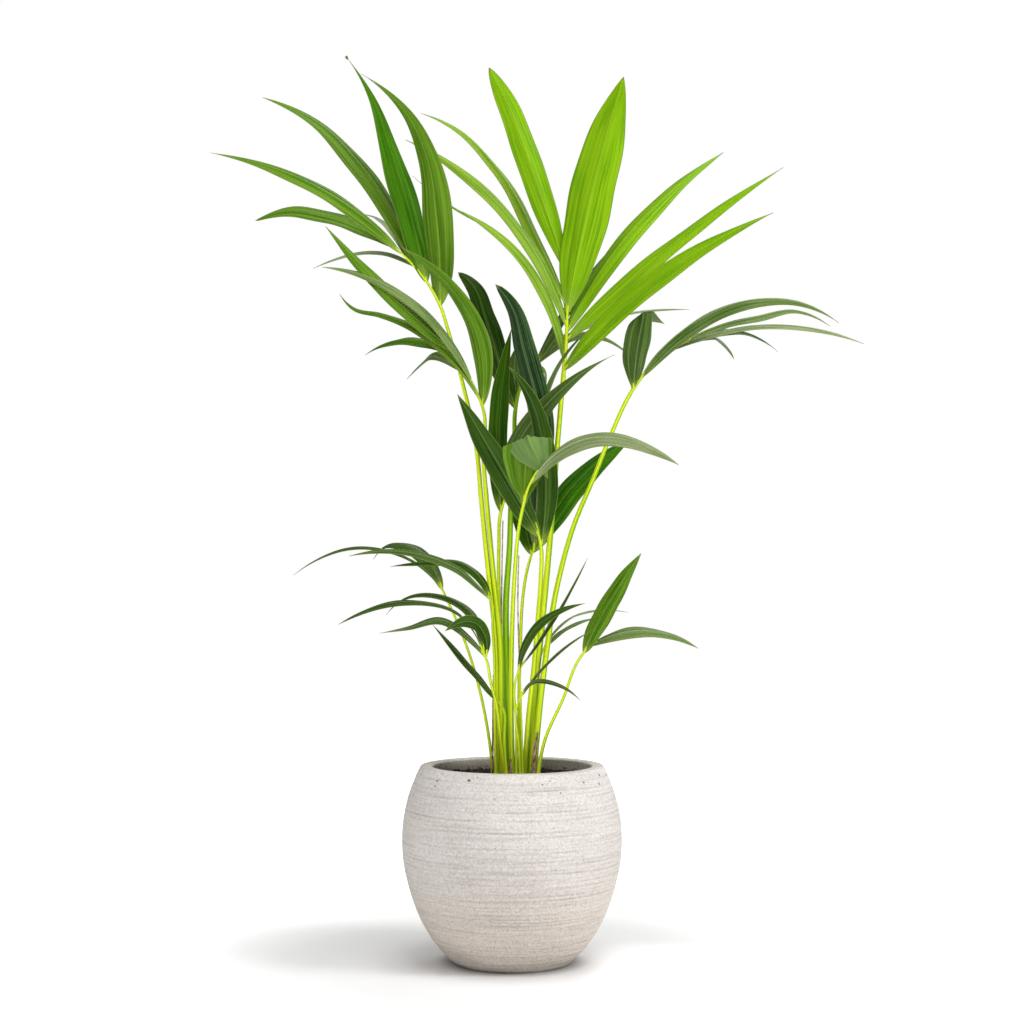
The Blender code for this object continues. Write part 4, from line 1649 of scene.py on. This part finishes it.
@dataclass
class SoilBed:
    """The soil in the pot: an uneven bed with crumbs on it."""

    palette: Palette
    chance: np.random.Generator
    radius: float = 98.5
    rings: int = 40
    sides: int = 120
    depth_mm: float = 30.0
    draw_in: float = 0.97
    crumbs: int = 1300
    crumb_mm: Pair = (0.9, 3.2)
    crumb_margin_mm: float = 2.5
    crumb_stretch: Pair = (0.6, 1.25)
    crumb_uneven: Pair = (0.78, 1.1)
    crumb_stand: float = 0.15

    def heights(self, x: np.ndarray, y: np.ndarray) -> np.ndarray:
        """How high the bed's surface stands over its mean level, in millimetres."""
        broad = 0.9 * np.sin(x / 13 + 1) * np.cos(y / 11)
        return broad + 0.5 * np.sin(x / 4.1) * np.sin(y / 5.3 + 2) + 0.4 * np.sin((x + y) / 2.3)

    def build_bed(self) -> None:
        """The bed itself, closed underneath."""
        angles = np.linspace(0, FULL_TURN, self.sides, endpoint=False)
        rows = []
        for k in range(self.rings, 0, -1):
            radius = self.radius * k / self.rings
            x, y = radius * np.cos(angles), radius * np.sin(angles)
            rows.append(np.stack([x, y, SOIL_TOP + self.heights(x, y)], -1))
        under = SOIL_TOP - self.depth_mm
        floor = rows[0] * (self.draw_in, self.draw_in, 0) + (0, 0, under)
        draft = MeshDraft()
        draft.add_tube([floor, *rows], levels=(under, SOIL_TOP - 1))
        piece = draft.finish("soil_bed", [self.palette.moist_soil], 80)
        declare(piece, "soil", "soil")

    def lump(self) -> tuple[np.ndarray, list[tuple[int, int, int]]]:
        """The twenty-sided solid that every crumb starts from.

        Returns:
            Its corners at a distance of 1 from the middle, and its faces.
        """
        golden = (1 + 5**0.5) / 2
        signs = [(a, b * golden) for a in (-1, 1) for b in (-1, 1)]
        corners = np.array([
            *((a, b, 0) for a, b in signs), *((0, a, b) for a, b in signs), *((b, 0, a) for a, b in signs),
        ], dtype=float)
        corners /= np.linalg.norm(corners[0])
        gaps = np.linalg.norm(corners[:, None] - corners, axis=-1)
        near = (gaps > 0) & (gaps < gaps[gaps > 0].min() * 1.1)
        faces = []
        for i, j, k in itertools.combinations(range(len(corners)), 3):
            if near[i, j] and near[i, k] and near[j, k]:
                a, b, c = corners[[i, j, k]]
                faces.append((i, j, k) if np.dot(np.cross(b - a, c - a), a) > 0 else (i, k, j))
        return corners, faces

    def build_crumbs(self) -> None:
        """Crumbs of soil, each an uneven lump."""
        draft = MeshDraft()
        corners, faces = self.lump()
        least, most = self.crumb_mm
        for _ in range(self.crumbs):
            distance = (self.radius - self.crumb_margin_mm) * math.sqrt(self.chance.uniform(0, 1))
            angle = self.chance.uniform(0, FULL_TURN)
            x, y = distance * math.cos(angle), distance * math.sin(angle)
            size = least + (most - least) * self.chance.uniform(0, 1) ** 2
            stretch = self.chance.uniform(*self.crumb_stretch, 3) * size
            crumb = corners * stretch * self.chance.uniform(*self.crumb_uneven, (len(corners), 1))
            turn = np.array(Matrix.Rotation(self.chance.uniform(0, math.pi), 3, "Z"))
            level = SOIL_TOP + float(self.heights(x, y)) + size * self.crumb_stand
            numbers = draft.add_points(crumb @ turn.T + (x, y, level))
            draft.faces.extend(tuple(face) for face in numbers[np.array(faces)].tolist())
            draft.slots.extend([0] * len(faces))
        piece = draft.finish("soil_crumbs", [self.palette.moist_soil], 30)
        declare(piece, "soil", "soil")

    def dress(self) -> None:
        """Build the bed and what lies on it."""
        self.build_bed()
        self.build_crumbs()


@dataclass
class Studio:
    """A pale floor with a painted contact shadow and a painted glow, soft light and the camera."""

    camera_place: Place = (0.0, -2.3, 0.47)
    camera_pitch: float = 91.75
    focal_px: float = 1900.0
    frame_px: float = 1024.0
    sensor_mm: float = 36.0
    near_clip: float = 0.05
    floor_half_mm: float = 6000.0
    world_strength: float = 0.33
    aim: Place = (0.0, 0.0, 0.5)
    lamps: tuple[tuple[str, Place, float, float], ...] = (
        ("key_lamp", (2.4, -1.1, 1.9), 0.9, 38.5),
        ("top_lamp", (0.2, -0.5, 2.9), 1.5, 41.0),
        ("fill_lamp", (-1.2, -2.8, 1.5), 2.0, 21.0),
        ("back_lamp", (0.6, 2.2, 2.0), 1.4, 12.0),
    )

    def build(self) -> None:
        """Set up the floor, the world, the lamps and the camera."""
        bpy.context.scene.view_settings.view_transform = "Standard"
        self.lay_floor()
        self.light_room()
        for lamp in self.lamps:
            self.hang(*lamp)
        self.set_camera()

    def lay_floor(self) -> None:
        """Lay a pale floor with a painted contact shadow, darkest under the pot's foot, and a painted glow
        that fades it to white away from the pot and on its right.
        """
        draft = MeshDraft()
        ends = (-self.floor_half_mm, self.floor_half_mm)
        x, y = np.meshgrid(ends, ends)
        draft.add_quads(draft.add_points(np.stack([x, y, np.zeros_like(x)], -1)), 0)
        w = Wiring("pale_floor")
        x, y, _ = w.split(w.place())
        far = (x * x + y * y) ** 0.5
        # Painted light: a glow on the floor just right of the pot, towards the front, that washes out the
        # shadow there
        painted_light_right = w.step(x, 0.07, 0.14, (0.0, 0.24)) * w.step(y, 0.0, 0.14, (1.0, 0.0))
        # Painted contact shadow: the floor's colour darkens close round the pot's foot
        shade = w.step(far, 0.064, 0.098, (0.36, 0.93))
        w.surface(w.join(shade, shade, shade), 0.9, 0.1)
        w.put((1.0, 1.0, 1.0, 1.0), w.shader.inputs["Emission Color"])
        # Painted light: the floor glows more away from the pot, washing its cast shadow out to white
        w.put(w.step(far, 0.22, 0.60, (0.0, 0.7)) + painted_light_right, w.shader.inputs["Emission Strength"])
        floor = draft.finish("floor", [w.material], 30)

    def light_room(self) -> None:
        """Fill the room with soft light, and show it as white."""
        world = bpy.data.worlds.new("soft_room")
        world.use_nodes = True
        nodes, links = world.node_tree.nodes, world.node_tree.links
        sky = nodes["Background"]
        sky.inputs["Color"].default_value = (1.0, 1.0, 1.0, 1.0)
        level = nodes.new("ShaderNodeMapRange")
        level.inputs["To Min"].default_value = self.world_strength
        level.inputs["To Max"].default_value = 1.0
        links.new(nodes.new("ShaderNodeLightPath").outputs["Is Camera Ray"], level.inputs["Value"])
        links.new(level.outputs["Result"], sky.inputs["Strength"])
        bpy.context.scene.world = world

    def hang(self, name: str, place: Place, size: float, power: float) -> None:
        """Hang one soft square lamp that looks at the plant.

        Args:
            name: the lamp's name.
            place: where it hangs, in metres.
            size: the length of its sides in metres.
            power: its power in watts.
        """
        light = bpy.data.lights.new(name, "AREA")
        light.size = size
        light.energy = power
        thing = bpy.data.objects.new(name, light)
        thing.location = place
        thing.rotation_euler = (Vector(self.aim) - Vector(place)).to_track_quat("-Z", "Y").to_euler()
        bpy.context.scene.collection.objects.link(thing)

    def set_camera(self) -> None:
        """Set the camera in front of the plant."""
        lens = bpy.data.cameras.new("camera")
        lens.sensor_width = self.sensor_mm
        lens.lens = self.focal_px * self.sensor_mm / self.frame_px
        lens.clip_start = self.near_clip
        camera = bpy.data.objects.new("camera", lens)
        camera.location = self.camera_place
        camera.rotation_euler = (math.radians(self.camera_pitch), 0.0, 0.0)
        bpy.context.scene.collection.objects.link(camera)
        bpy.context.scene.camera = camera


def write_sizes() -> None:
    """Bring the view layer up to date.
    """
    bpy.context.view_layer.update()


def main() -> None:
    """Build and dress every piece in order."""
    logging.basicConfig(level=logging.INFO, format="%(message)s")
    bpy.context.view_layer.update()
    Studio().build()
    palette = Palette()
    GroovedPot(palette, np.random.default_rng(11)).dress()
    SoilBed(palette, np.random.default_rng(12)).dress()
    LeftStem(palette).dress()
    for number, plan in enumerate(FRONDS):
        PalmFrond(plan, palette, np.random.default_rng(100 + number)).dress()
    for number, (node, radii, points) in enumerate(DRY_PIECES):
        chance = np.random.default_rng(300 + number)
        DryPiece(node, radii, points, palette, chance, GREEN_SHARES.get(node, 0.0)).dress()
    write_sizes()


if __name__ == "__main__":
    main()
